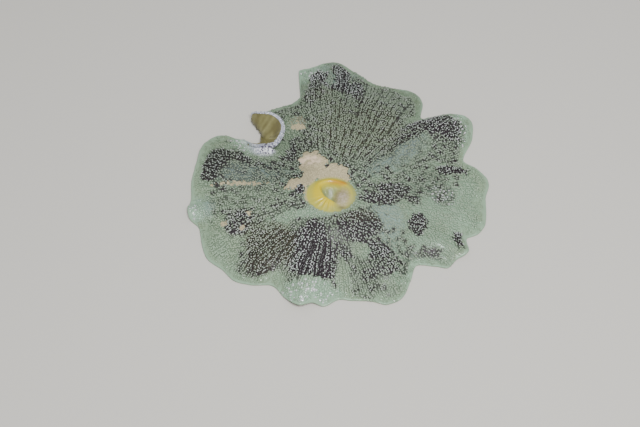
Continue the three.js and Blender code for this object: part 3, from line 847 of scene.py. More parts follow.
@dataclass
class Skin:
    """The whole body's skin as one closed sheet: throat, lips, oral disc, curl, column and sole."""

    disc: Disc
    curl: Curl
    markings: Markings
    free_columns: int = 470
    curl_columns: int = 92
    fall_columns: int = 4
    disc_rings: int = 66
    edge_rings: int = 7
    under_rings: int = 24
    edge_inset: float = 0.5
    wall_flesh: float = 4.0
    rim_inset: float = 3.9
    easing: int = 12
    funnel_point: tuple[float, float, float] = (-97.0, 112.0, 0.4)
    web_floor: float = 0.2
    free_turn: tuple[float, float] = (142.05, 488.2)
    fall_turn: tuple[float, float] = (488.3, 488.6)
    map_radius: float = 0.235
    rim: RimEdge | None = None

    # Ring by ring under the curl's rim: how far a web is drawn to the funnel's point, and its height
    # as a share of the first ring's.
    WEB = ((0.12, 0.86), (0.4, 0.55), (0.7, 0.24), (0.95, 0.03), (0.8, 0.0), (0.45, 0.0), (0.15, 0.02))
    # Radius and height of each ring from the top of the column to the middle of the sole.
    COLUMN = ((66.5, 8.5), (62, 7), (58.5, 5), (57.5, 3.4), (59, 1.8), (59.2, 0.7), (58, 0), (44, 0),
              (28, 0), (12, 0))
    MARKS = ("gaps", "bare", "band", "margin", "olive", "blue", "light", "dim", "lip", "ridge", "fire",
             "cavity", "pearl", "lump", "aboral", "streak")

    @cached_property
    def mouth(self) -> Mouth:
        """The throat and the lips."""
        return Mouth(self.disc)

    @cached_property
    def columns(self) -> tuple[Array, Array, Array]:
        """Bearing, angle round the funnel and standing share of the wall of each column."""
        track = np.linspace(*self.free_turn, 8000)
        x, y = polar(track, self.disc.reach(track))
        length = travelled(np.hypot(np.diff(x), np.diff(y)))
        even = 0.8 * length / length[-1] + 0.2 * (track - track[0]) / (track[-1] - track[0])
        free = np.interp(np.linspace(0, 1, self.free_columns), even, track)
        steps = np.linspace(0, 1, self.fall_columns + 2)[1:-1]
        fall = lerp(*self.fall_turn, steps)
        around = self.even_around(self.curl_columns)
        bearing = np.concatenate([free, fall, self.disc.curl("bearing")(around) + TURN])
        turns = np.concatenate([np.full(len(free), -180.0), np.full(len(fall), self.curl.last), around])
        share = np.concatenate([np.zeros(len(free)), smooth(0, 1, steps), np.ones(len(around))])
        share[-1] = 0.4
        turns[: len(free) // 2] = self.curl.first
        turns[len(free) // 2 : len(free)] = self.curl.last
        return bearing, turns, share

    def even_around(self, count: int) -> Array:
        """Angles round the funnel at even steps along the rim, from its last to its first."""
        track = np.linspace(self.curl.last, self.curl.first, 1200)
        length = travelled(np.linalg.norm(np.diff(self.curl.rim(track), axis=0), axis=1))
        return np.interp(np.linspace(0, 1, count), length / length[-1], track)

    def even_bearing(self) -> Array:
        """Bearings that are even round the lips, one for each column."""
        bearing = self.columns[0]
        count = len(bearing)
        even = TURN * np.arange(count) / count
        return even + np.mean(bearing - even)

    def way_out(self, ways: Array) -> tuple[Array, Array, Array]:
        """The oral side along each column, from the lips to the margin or the rim.

        Args:
            ways: Shares of the whole way, one for each ring.

        Returns:
            Places, bearings and shares of the way out, each as rings by columns; past the hem
            the share is 1 plus the way up the wall.
        """
        bearing, around, share = self.columns
        free = share == 0
        inset = np.where(free, self.edge_inset + self.disc.flesh_at_edge / 2, 0.0)
        reach = np.where(free, self.disc.reach(bearing) - inset, self.disc.curl("reach")(around))
        climb, turns = np.meshgrid(np.linspace(0, 1, 40), around, indexing="ij")
        track = self.curl.point(turns, climb, share)
        wall = np.linalg.norm(np.diff(track, axis=0), axis=2).sum(axis=0) * (share > 0)
        inset = self.wall_flesh / 2 + self.rim_inset
        trim = np.where(wall > 2 * inset, 1 - inset / np.maximum(wall, 1e-6), 0.5)
        flat = reach - self.disc.lip(bearing)
        split = flat / (flat + wall)
        s = np.broadcast_to(ways[:, None], (len(ways), len(bearing)))
        out = np.minimum(s / split, 1)
        up = np.where(free, 0, np.clip((s - split) / np.maximum(1 - split, 1e-6), 0, 1) * trim)
        spread = smooth(0, 0.9, out)
        heading = lerp(self.even_bearing()[None, :], bearing[None, :], spread)
        radius = self.disc.radius(heading, out, reach[None, :])
        share_out = np.minimum(self.disc.out(heading, radius), 1)
        disc = np.stack([*polar(heading, radius), self.disc.oral(heading, share_out)], -1)
        stand = self.curl.point(np.broadcast_to(around, s.shape), up, np.broadcast_to(share, s.shape))
        places = np.where((up > 0)[..., None], stand, disc)
        return places, heading, np.where(up > 0, 1 + up, share_out)

    def build(self) -> bpy.types.Object:
        """Models the skin.

        Returns:
            The skin's object, with its marks as attributes.
        """
        grid = SkinGrid()
        self.mouth.add_to(grid, self.even_bearing())
        self.oral_side(grid)
        self.foot(grid)
        places = np.concatenate(grid.places)
        rings, columns = places.shape[:2]
        clear_selection()
        bpy.ops.mesh.primitive_uv_sphere_add(segments=columns, ring_count=rings + 1, radius=1)
        skin = bpy.context.object
        skin.name = skin.data.name = "skin"
        start = places_of(skin.data)
        ring = np.rint((np.arccos(np.clip(start[:, 2], -1, 1)) / math.pi) * (rings + 1)).astype(int)
        turn = np.mod(np.arctan2(start[:, 1], start[:, 0]), 2 * math.pi)
        column = np.rint(turn / (2 * math.pi) * columns).astype(int) % columns
        top, bottom = ring == 0, ring == rings + 1
        row = np.clip(ring - 1, 0, rings - 1)
        final = places[row, column]
        final[top] = places[0].mean(axis=0)
        final[bottom] = places[-1].mean(axis=0)
        set_places(skin.data, drifted(final))
        for name in self.MARKS:
            set_attribute(skin.data, name, np.concatenate(grid.marks[name])[row, column])
        self.map_bake(skin.data, places, ring, column)
        clear_selection()
        skin.select_set(True)
        bpy.context.view_layer.objects.active = skin
        bpy.ops.object.shade_smooth()
        return skin

    def oral_side(self, grid: SkinGrid) -> None:
        """Adds the oral disc and the curl, the rounded margin and the aboral side under them."""
        ways = np.linspace(0, 1, self.disc_rings)
        places, bearing, out = self.way_out(ways)
        places = lerp(places, self.eased(places), smooth(0.7, 0.95, ways)[:, None, None])
        up = np.maximum(out - 1, 0)
        on_disc = np.minimum(out, 1)
        through = self.directions(places, up)
        flesh = np.maximum(places[..., 2] - self.disc.under(bearing, on_disc), 1.0)
        flesh = np.where(up > 0, self.wall_flesh, flesh)
        marks = self.marks_of(places, up)
        wavy = self.ruffled(places, bearing, up)
        grid.add(wavy, **marks)
        half = flesh[-1] / 2
        ahead = unit(places[-1] - places[-2])
        ahead = unit(ahead - through[-1] * (ahead * through[-1]).sum(-1, keepdims=True))
        edge = RimEdge(wavy[-1] - through[-1] * half[:, None], through[-1], ahead, half)
        on_curl = self.columns[2] > 0.9
        self.rim = RimEdge(*(part[on_curl] for part in vars(edge).values()))
        self.rounding(grid, edge, {name: value[-1] for name, value in marks.items()})
        self.aboral_side(grid, places - through * flesh[..., None])

    def rounding(self, grid: SkinGrid, edge: RimEdge, marks: dict[str, Array]) -> None:
        """Adds the rounded edge of the margin and of the curl's rim.

        Args:
            grid: The skin as far as the edge.
            edge: The edge, with one entry for each column.
            marks: Marks of the oral side at the edge, which go on round it.
        """
        angles = np.linspace(0, math.pi, self.edge_rings + 2)[1:-1]
        places = self.eased(np.stack([edge.at(angle)[0] for angle in angles]))
        places[..., 2] = np.maximum(places[..., 2], 0.0)
        side = smooth(0.35, 0.85, angles / math.pi)[:, None]
        grid.add(places, **(marks | {"aboral": side + 0 * marks["margin"]}))

    def aboral_side(self, grid: SkinGrid, places: Array) -> None:
        """Adds the aboral side, from the edge inwards.

        Args:
            grid: The skin as far as the edge.
            places: Places across the flesh from those of the oral side.
        """
        rows = np.linspace(self.disc_rings - 1, self.disc_rings * 0.2, self.under_rings).astype(int)
        under = self.eased(self.webbed(places[rows]))
        under[..., 2] = np.maximum(under[..., 2], 0.0)
        count = under.shape[1]
        streak = Mottle(7, 5)(np.arange(count) * 2.4, np.zeros(count)) + 0 * under[..., 0]
        # A painted shadow deep in the funnel, by the inner east side of its rim.
        streak = streak - 4 * oval(under[..., 0], under[..., 1], (-72, 104), (7, 9))
        grid.add(under, aboral=1.0, streak=streak)

    def eased(self, rings: Array) -> Array:
        """Evens rings out along the low south side of the curl, where its wall dies away."""
        _, around, share = self.columns
        weight = share * smooth(-140, -116, around) * (1 - smooth(-58, -34, around))
        even = rings
        for _ in range(self.easing):
            even = (np.roll(even, 1, axis=1) + 2 * even + np.roll(even, -1, axis=1)) / 4
        return lerp(rings, even, weight[None, :, None])

    def webbed(self, under: Array) -> Array:
        """Draws the aboral side of the curl's south end down to the point of the funnel."""
        _, around, share = self.columns
        weight = share * smooth(-108, -95, around) * (1 - smooth(-80, 25, around))
        mixed = under.copy()
        for row, (toward, level) in enumerate(self.WEB):
            web = lerp(under[0], np.array(self.funnel_point), toward)
            web[:, 2] = lerp(self.web_floor, under[0, :, 2], level)
            mixed[row] = lerp(under[row], web, weight[:, None])
        return mixed

    def ruffled(self, places: Array, bearing: Array, up: Array) -> Array:
        """Gives the margin the small waves of soft flesh."""
        x, y = places[..., 0], places[..., 1]
        away = np.hypot(x, y) / self.disc.reach(bearing)
        wave = 0.5 * Mottle(9, 3)(x, y) + 0.35 * Mottle(4, 4)(x, y)
        lift = np.maximum(wave, -0.4) * smooth(0.72, 1, away) * (up == 0)
        return places + np.stack([0 * x, 0 * y, lift], -1)

    def directions(self, places: Array, up: Array) -> Array:
        """The way through the flesh from the aboral to the oral side."""
        across = np.roll(places, -1, axis=1) - np.roll(places, 1, axis=1)
        normal = unit(np.cross(np.gradient(places, axis=0), across))
        return unit(lerp(np.array([0.0, 0.0, 1.0]), normal, smooth(0, 0.25, up)[..., None]))

    def marks_of(self, places: Array, up: Array) -> dict[str, Array]:
        """The marks of the oral side at each place."""
        x, y = places[..., 0], places[..., 1]
        band = self.markings.band(places)
        level, on_wall = self.markings.level, up > 0
        return {
            "gaps": np.where(on_wall, 0.25 * (1 - band), self.markings.gaps(x, y, band)),
            "bare": np.where(on_wall, 0, level(x, y, Mark.BARE)),
            "band": band,
            "margin": np.where(on_wall, 0.6, self.markings.edge(x, y)),
            "olive": level(x, y, Mark.OLIVE),
            "blue": level(x, y, Mark.BLUE),
            # Painted light: brighter patches, and a painted highlight along the free margin.
            "light": np.maximum(level(x, y, Mark.LIGHT), self.markings.rim_light(x, y)),
            # Painted shade: duller flesh in patches and towards the far side.
            "dim": self.markings.dim(x, y),
            "lip": 0.6 * (1 - smooth(0, 3, self.markings.from_lip(x, y))),
        }

    def foot(self, grid: SkinGrid) -> None:
        """Adds the column and the sole of the pedal disc."""
        heading = self.even_bearing()
        start = grid.places[-1][-1]
        rings = []
        for step, (radius, level) in enumerate(self.COLUMN):
            ring = np.stack([*polar(heading, radius), level + 0 * heading], -1)
            rings.append(lerp(start, ring, smooth(0, 3, step + 1)))
        grid.add(np.stack(rings), aboral=1.0)

    def map_bake(self, mesh: bpy.types.Mesh, places: Array, ring: Array, column: Array) -> None:
        """Unrolls the skin into two rounds side by side: the oral side, and the aboral side."""
        rings, columns = places.shape[:2]
        step = np.linalg.norm(np.diff(places, axis=0), axis=2).mean(axis=1)
        along = 1.0 + travelled(step)
        split = self.mouth.rings + self.disc_rings + 2
        corner_vertex = numbers_of(mesh.loops, "vertex_index")
        face = np.repeat(np.arange(len(mesh.polygons)), numbers_of(mesh.polygons, "loop_total"))
        rows = ring[corner_vertex]
        high = np.zeros(len(mesh.polygons), int)
        np.maximum.at(high, face, rows)
        oral = (high <= split)[face]
        radius = np.concatenate([[0.0], along, [along[-1] + 10]])[rows]
        size = np.where(oral, along[split - 1], radius.max() - along[split - 2])
        radius = np.where(oral, radius, radius.max() - radius) / size * self.map_radius
        turn = column[corner_vertex] / columns * 2 * math.pi
        pole = (rows == 0) | (rows == rings + 1)
        turn = np.where(pole, 0.0, turn)
        u = np.where(oral, 0.25, 0.75) + radius * np.cos(turn)
        v = 0.5 + radius * np.sin(turn)
        set_bake_map(mesh, np.stack([u, v], -1))


# ---- Tentacles ----------------------------------------------------------------------------------


@dataclass
class Roots:
    """Where tentacles stand and how each is made: an entry for each, or a number for all alike."""

    places: Array
    normals: Array
    flat: Array
    height: Array
    radius: Array | float
    gaps: Array | float = 0.0
    band: Array | float = 0.0
    margin: Array | float = 0.0
    olive: Array | float = 0.0
    blue: Array | float = 0.0
    light: Array | float = 0.0
    dim: Array | float = 0.0
    sunk: Array | float = 0.0

    MARKS = ("gaps", "band", "margin", "olive", "blue", "light", "dim", "sunk")

    def __post_init__(self) -> None:
        """Spreads the numbers over all the tentacles."""
        for name, value in list(vars(self).items()):
            if np.ndim(value) == 0:
                setattr(self, name, np.full(len(self.places), value, float))

    def picked(self, keep: Array) -> Roots:
        """The tentacles that a mask or an index list picks."""
        return Roots(**{name: value[keep] for name, value in vars(self).items()})

    def joined(self, other: Roots) -> Roots:
        """These tentacles followed by others."""
        return Roots(**{name: np.concatenate([value, vars(other)[name]])
                        for name, value in vars(self).items()})


@dataclass(frozen=True)
class Sizes:
    """One measure of the tentacles by where they stand."""

    pale: float
    dark: float
    margin: float
    band: float

    def at(self, gaps: Array, edge: Array, band: Array, drawn: Array) -> Array:
        """The measure of each tentacle.

        Args:
            gaps: How dark and open the gaps are.
            edge: Share of the smooth margin.
            band: Share of the curl's whitish band.
            drawn: Each tentacle's own drawn factor, which the band evens out.

        Returns:
            The measures.
        """
        usual = lerp(lerp(self.pale, self.dark, gaps), self.margin, edge)
        return lerp(usual * drawn, self.band, band)


@dataclass
class Rows:
    """Radial rows of places on the disc, with new rows let in where the older ones part."""

    row_pitch: float = 2.75
    pitch: float = 2.2
    rows_bits: int = 9
    start: float = 27.0
    reach: float = 240.0
    jitter: float = 0.15
    row_shift: float = 0.16
    ramp: float = 20.0
    birth_spread: float = 0.02
    evening: float = 0.55
    bend: float = 5.0
    looseness: float = 2.0

    COMBED = ((0, 0.25), (40, 0.45), (60, 0.9), (95, 0.7), (120, 0.15), (150, 0.1), (200, 0.4),
              (218, 0.95), (250, 0.95), (285, 0.75), (310, 0.35), (360, 0.25))

    def combed(self, bearing: Array, radius: Array) -> Array:
        """How clearly the tentacles stand in rows: 1 in the combed sectors, 0 near the lips."""
        return Curve(list(self.COMBED))(np.mod(bearing, TURN)) * smooth(42, 85, radius)

    def headings(self, grid: Array, born: Array) -> Array:
        """Bearings of the rows along their way out.

        Args:
            grid: Distances from the mouth's centre.
            born: Distance at which each row is let in.

        Returns:
            The bearings, as distances by rows. A young row hugs an older one.
        """
        count = len(born)
        index = np.arange(count)
        weight = np.clip((grid[:, None] - born[None, :]) / self.ramp, 0, 1)
        total = np.cumsum(weight, axis=1) - weight / 2
        even = total / weight.sum(axis=1, keepdims=True)
        straight = (index + 0.5)[None, :] / count
        step = np.maximum(index & -index, 1)
        nearer = np.maximum(step // 2, 1)
        younger = (weight[:, (index - nearer) % count] + weight[:, (index + nearer) % count]) / 2
        hug = np.where(index % 2 == 1, 1.0, 1 - younger) * (step < count // 4)
        combed = self.combed(straight * TURN, grid[:, None])
        shift = -self.row_shift * hug / weight.sum(axis=1, keepdims=True) * lerp(0.3, 1, combed)
        bearing = TURN * (lerp(straight, even, self.evening) + shift)
        bend = self.bend * np.sin(np.radians(2 * bearing + 20)) * smooth(40, 230, grid)[:, None]
        return bearing + bend

    def places(self) -> tuple[Array, Array, Array]:
        """Bearings and distances from the mouth's centre.

        Returns:
            Three arrays with one entry for each place; the last is its row's own lot, 0 to 1.
        """
        rng = np.random.default_rng(7)
        count = 2**self.rows_bits
        index = np.arange(count)
        turned = np.array([int(f"{i:0{self.rows_bits}b}"[::-1], 2) for i in index])
        born = turned + rng.uniform(-self.birth_spread, self.birth_spread, count) * count
        born = born * self.row_pitch / (2 * math.pi)
        lot = rng.uniform(0, 1, count)
        grid = np.arange(self.start, self.reach, 1.0)
        bearing = self.headings(grid, born)
        straight = (index + 0.5)[None, :] / count
        steps = np.arange(self.start, self.reach, self.pitch)
        radius = steps[:, None] + self.pitch * rng.uniform(0, 1, count)
        shake = self.jitter * lerp(self.looseness, 1, self.combed(straight * TURN, radius))
        radius = radius + rng.normal(0, 1, radius.shape) * shake * self.pitch
        column = np.broadcast_to(index, radius.shape)
        low = np.clip((radius - self.start).astype(int), 0, len(grid) - 2)
        part = np.clip(radius - self.start - low, 0, 1)
        heading = lerp(bearing[low, column], bearing[low + 1, column], part)
        alive = radius > born[None, :] + 5.0
        sway = rng.normal(0, 1, radius.shape) * shake * self.row_pitch
        heading = heading + np.degrees(sway / np.maximum(radius, 1))
        return heading[alive], radius[alive], np.broadcast_to(lot, radius.shape)[alive]


@dataclass
class Coat:
    """The coat of short tentacles over the oral side, in pieces by sector."""

    disc: Disc
    curl: Curl
    markings: Markings
    skin: Skin
    rows: Rows = field(default_factory=Rows)
    heights: Sizes = Sizes(pale=1.4, dark=3.3, margin=0.4, band=2.4)
    radii: Sizes = Sizes(pale=1.6, dark=1.1, margin=1.85, band=1.4)
    wall_columns: int = 70
    wall_start: float = -68.0
    wall_pitch: float = 2.5
    wall_stagger: float = 1.2
    wall_top: float = 3.2
    wall_foot: float = 0.28
    wall_radius: float = 1.45
    rim_radius: float = 1.3
    flecks: tuple[float, float] = (-80.0, 71.0)
    fleck_half: tuple[float, float] = (15.0, 6.0)
    fleck_chance: float = 0.45
    rim_gaps: float = 0.04
    lean: float = 0.16
    outward_lean: float = 0.14
    patch_width: float = 0.003
    most_tentacles: int = 4100

    # Round the rim's thick edge: the turn in degrees of each row, and its tentacles' height.
    RIM_ROWS = ((12.0, 2.2), (52.0, 2.1), (92.0, 1.9), (128.0, 1.3))
    # Level, width and way out from the middle of the bake patch, for each ring of one tentacle.
    TENTACLE = ((1.0, 0.0, 0.0), (0.89, 0.62, 0.22), (0.6, 1.0, 0.46), (0.26, 0.76, 0.7),
                (-0.06, 0.8, 0.88), (-0.1, 0.0, 1.0))
    SECTORS = ("east", "north_east", "north", "north_west", "west", "south_west", "south", "south_east")

    def normal_of(self, x: Array, y: Array) -> Array:
        """Outward normals of the disc at plan places."""
        step = 1.2

        def level(px: Array, py: Array) -> Array:
            bearing = bearing_of(px, py)
            return self.disc.oral(bearing, np.minimum(self.disc.out(bearing, np.hypot(px, py)), 1))

        slope_x = (level(x + step, y) - level(x - step, y)) / (2 * step)
        slope_y = (level(x, y + step) - level(x, y - step)) / (2 * step)
        return unit(np.stack([-slope_x, -slope_y, np.ones_like(x)], -1))

    def disc_sites(self) -> Array:
        """Where tentacles stand on the disc.

        Returns:
            Rows of x, y, bearing, distance from the mouth's centre, the lot of the tentacle's row,
            distance to the margin, and bareness of the skin.
        """
        bearing, radius, lot = self.rows.places()
        inside = (radius < self.disc.reach(bearing) - 1.0) & (radius > self.disc.lip(bearing) + 1.0)
        bearing, radius, lot = bearing[inside], radius[inside], lot[inside]
        x, y = polar(bearing, radius)
        away = self.markings.from_margin(x, y)
        bare = self.markings.level(x, y, Mark.BARE)
        hem = self.curl.hem(np.linspace(-60, self.curl.last, 200))
        near_hem = distances(tree_of(hem * IN_PLAN), np.stack([x, y, 0 * x], -1))
        smooth_skin = (4.0 + 1.5 * self.markings.wobbles[0](x, y)) * self.markings.margin_share(x, y)
        keep = (away > smooth_skin) & (bare < 0.5) & (near_hem > 3.0)
        return np.stack([x, y, bearing, radius, lot, away, bare])[:, keep]

    def on_disc(self) -> Roots:
        """Tentacles of the disc: short and broad in the pale parts, taller between dark gaps."""
        rng = np.random.default_rng(21)
        x, y, bearing, radius, lot, away, bare = self.disc_sites()
        z = self.disc.oral(bearing, np.minimum(self.disc.out(bearing, radius), 1))
        places = np.stack([x, y, z], -1)
        band = self.markings.band(places)
        edge = self.markings.edge(x, y)
        gaps = self.markings.gaps(x, y, band)
        chance = lerp(rng.uniform(0, 1, len(x)), lot, 0.82 * self.rows.combed(bearing, radius))
        sunk = (1 - smooth(0, 0.07, chance - lerp(0.08, 0.26, gaps))) * smooth(0.15, 0.5, gaps)
        sunk = np.maximum(sunk, self.flecked(places, rng))
        tall = self.heights.at(gaps, edge, band, rng.normal(1, lerp(0.09, 0.35, edge)))
        tall = tall * self.disc.pressed(x, y) * lerp(1, 0.6, sunk)
        tall = tall * lerp(0.45, 1, smooth(0, 8, radius - self.disc.lip(bearing)))
        tall = tall * lerp(1, 0.5, smooth(0, 0.5, bare)) * smooth(0, 9, away)
        width = self.radii.at(gaps, edge, band, rng.normal(1, 0.07, len(x))) * lerp(1, 0.9, sunk)
        # light is painted light; the last level passed below is painted shade.
        olive, blue, light = (self.markings.level(x, y, m) for m in (Mark.OLIVE, Mark.BLUE, Mark.LIGHT))
        return Roots(places, self.normal_of(x, y), np.stack([x, y], -1), tall, width, gaps, band, edge,
                     olive, blue, light, self.markings.dim(x, y), sunk)

    def on_curl(self) -> Roots:
        """Tentacles of the curl's standing wall."""
        rng = np.random.default_rng(22)
        levels = np.linspace(0, 1, 60)
        found = []
        for i, angle in enumerate(self.skin.even_around(self.wall_columns)):
            if not self.wall_start < angle < self.curl.last - 3:
                continue
            track = self.curl.point(np.full(len(levels), angle), levels)
            length = travelled(np.linalg.norm(np.diff(track, axis=0), axis=1))
            first = length[-1] - self.skin.rim_inset - self.wall_top - self.wall_stagger * (i % 2)
            steps = np.arange(first, self.wall_foot * length[-1], -self.wall_pitch)
            ups = np.interp(steps + rng.normal(0, 0.12, len(steps)), length, levels)
            found += [(angle + rng.normal(0, 0.5), up, reach) for up, reach in zip(ups, steps)]
        angle, up, reach = np.array(found).T
        places = self.curl.point(angle, up)
        along = self.curl.point(angle, np.minimum(up + 0.02, 1)) - self.curl.point(angle, up - 0.02)
        across = self.curl.point(angle + 1, up) - self.curl.point(angle - 1, up)
        band = self.markings.band(places)
        hem = self.curl.hem(angle)
        flat = hem[:, :2] + unit(hem * IN_PLAN)[:, :2] * reach[:, None]
        fleck = self.flecked(places, rng)
        tall = lerp(1.2, 2.4, smooth(0.3, 0.8, up)) * rng.normal(1, 0.08, len(angle))
        # The wall's tentacles take a little painted light.
        return Roots(places, unit(np.cross(across, along)), flat, tall, self.wall_radius,
                     gaps=0.25 * (1 - band), band=band, margin=0.4, blue=0.5, light=0.3, sunk=fleck)

    def flecked(self, places: Array, rng: np.random.Generator) -> Array:
        """The few violet tentacles on the south side of the curl's band: 1 for each, 0 elsewhere."""
        off = (places[..., :2] - self.flecks) / self.fleck_half
        near = np.hypot(off[..., 0], off[..., 1]) < 1
        return (near & (rng.uniform(0, 1, near.shape) < self.fleck_chance)).astype(float)

    def on_rim(self) -> Roots:
        """Tentacles round the thick edge of the curl's rim."""
        rng = np.random.default_rng(23)
        rim, found = self.skin.rim, []
        outward = unit(rim.centre * IN_PLAN)[:, :2]
        for row, (turn, height) in enumerate(self.RIM_ROWS):
            places, normals = rim.at(math.radians(turn))
            flat = rim.centre[:, :2] + outward * (38 + 2.6 * row)
            tall = height * rng.normal(1, 0.1, len(places))
            # The rim's tentacles take painted light.
            found.append(Roots(places, normals, flat, tall, self.rim_radius, light=0.6,
                               band=self.markings.band(places), sunk=self.flecked(places, rng)))
        joined = reduce(Roots.joined, found)
        return joined.picked(rng.uniform(0, 1, len(joined.places)) > self.rim_gaps)

    def template(self) -> tuple[Array, list[list[int]], Array]:
        """Models one tentacle: a short stalk with a blunt, swollen tip.

        Returns:
            Its vertices with a height of 1 and a widest radius of 1, its faces, and the place
            of each corner in its round patch of the bake map.
        """
        last = len(self.TENTACLE) - 1
        levels, widths, spread = np.array(self.TENTACLE).T
        clear_selection()
        bpy.ops.mesh.primitive_uv_sphere_add(segments=6, ring_count=last, radius=1)
        bulb = bpy.context.object
        places = places_of(bulb.data)
        ring = np.rint(np.arccos(np.clip(places[:, 2], -1, 1)) / math.pi * last).astype(int)
        flat = unit(places[:, :2] + 1e-9)
        places = np.column_stack([flat * widths[ring][:, None], levels[ring]])
        faces = [list(face.vertices) for face in bulb.data.polygons]
        in_patch = []
        for face in faces:
            middle = unit(places[face, :2].mean(axis=0))
            for vertex in face:
                way = middle if ring[vertex] in (0, last) else unit(places[vertex, :2])
                in_patch.append(way * spread[ring[vertex]] * 0.5)
        bpy.data.objects.remove(bulb, do_unlink=True)
        return places, faces, np.array(in_patch)

    def copies(self, name: str, roots: Roots, seed: int) -> bpy.types.Object:
        """Joins one copy of the tentacle for each root into a mesh.

        Args:
            name: Name of the piece.
            roots: Where and how each tentacle stands.
            seed: Seed for its turn, lean and tone.

        Returns:
            The piece, with its marks as attributes.
        """
        rng = np.random.default_rng(seed)
        shape, faces, in_patch = self.template()
        count, size = len(roots.places), len(shape)
        lean = self.lean * rng.normal(0, 1, (count, 3)) + self.outward_lean * unit(roots.places * IN_PLAN)
        axis = unit(roots.normals + lean)
        side = unit(np.cross(axis, rng.normal(0, 1, (count, 3))))
        other = np.cross(axis, side)
        local = shape[None, :, :] * np.stack([roots.radius, roots.radius, roots.height], -1)[:, None, :]
        local[..., 0] *= rng.normal(1, 0.06, count)[:, None]
        places = (drifted(roots.places)[:, None, :] + local[..., 0:1] * side[:, None, :]
                  + local[..., 1:2] * other[:, None, :] + local[..., 2:3] * axis[:, None, :])
        mesh = copied_mesh(name, places, faces)
        set_attribute(mesh, "rise", np.tile(np.clip(shape[:, 2], 0, 1), count))
        set_attribute(mesh, "tone", np.repeat(rng.uniform(0, 1, count), size))
        for mark in Roots.MARKS:
            set_attribute(mesh, mark, np.repeat(getattr(roots, mark), size))
        home = self.bake_place(roots.flat)
        set_bake_map(mesh, (home[:, None, :] + in_patch[None, :, :] * self.patch_width).reshape(-1, 2))
        mesh.polygons.foreach_set("use_smooth", np.ones(len(mesh.polygons), bool))
        mesh.validate()
        piece = bpy.data.objects.new(name, mesh)
        bpy.context.scene.collection.objects.link(piece)
        return piece

    def bake_place(self, flat: Array) -> Array:
        """Place in the bake map of a place on the unrolled disc."""
        return 0.5 + flat / (2.1 * self.rows.reach)

    def build(self) -> list[bpy.types.Object]:
        """Models the coat, sector by sector.

        Returns:
            The pieces.
        """
        roots = self.on_disc().joined(self.on_curl()).joined(self.on_rim())
        bearing = np.mod(bearing_of(*roots.flat.T), TURN)
        width = TURN / len(self.SECTORS)
        sector = np.mod(np.floor(bearing / width + 0.5), len(self.SECTORS)).astype(int)
        pieces = []
        for number, name in enumerate(self.SECTORS):
            members = roots.picked(sector == number)
            if len(members.places) > self.most_tentacles:
                raise ValueError(f"{name} holds {len(members.places)} tentacles")
            pieces.append(self.copies(f"tentacles_{name}", members, 100 + number))
            LOG.info("tentacles_%s: %d tentacles", name, len(members.places))
        return pieces


# ---- Finishes -----------------------------------------------------------------------------------


def linear(red: float, green: float, blue: float) -> tuple[float, float, float, float]:
    """Scene colour of a screen colour given from 0 to 255."""
    parts = [c / 255 for c in (red, green, blue)]
    return (*(c / 12.92 if c <= 0.04045 else ((c + 0.055) / 1.055) ** 2.4 for c in parts), 1.0)


class Value:
    """A number that runs through a shader; sums on it add Math nodes."""

    def __init__(self, shader: Shader, socket: bpy.types.NodeSocket) -> None:
        """Wraps a socket."""
        self.shader, self.socket = shader, socket

    def _math(self, operation: str, first: Value | float, second: Value | float) -> Value:
        """Adds a Math node and wraps its result."""
        node = self.shader.node("ShaderNodeMath", {"operation": operation}, {0: first, 1: second})
        return Value(self.shader, node.outputs[0])

    def __add__(self, other: Value | float) -> Value:
        """This plus another."""
        return self._math("ADD", self, other)

    def __sub__(self, other: Value | float) -> Value:
        """This less another."""
        return self._math("SUBTRACT", self, other)

    def __rsub__(self, other: float) -> Value:
        """Another less this."""
        return self._math("SUBTRACT", other, self)

    def __mul__(self, other: Value | float) -> Value:
        """This times another."""
        return self._math("MULTIPLY", self, other)

    def __pow__(self, other: float) -> Value:
        """This to a power."""
        return self._math("POWER", self, other)

    __radd__, __rmul__ = __add__, __mul__

    def between(self, low: float, high: float, start: float = 0.0, end: float = 1.0) -> Value:
        """Eased step from `start` to `end` as this runs from `low` to `high`."""
        node = self.shader.node("ShaderNodeMapRange", {"interpolation_type": "SMOOTHSTEP"},
                                {0: self, 1: low, 2: high, 3: start, 4: end})
        return Value(self.shader, node.outputs[0])


Link = Value | float | tuple | bpy.types.NodeSocket


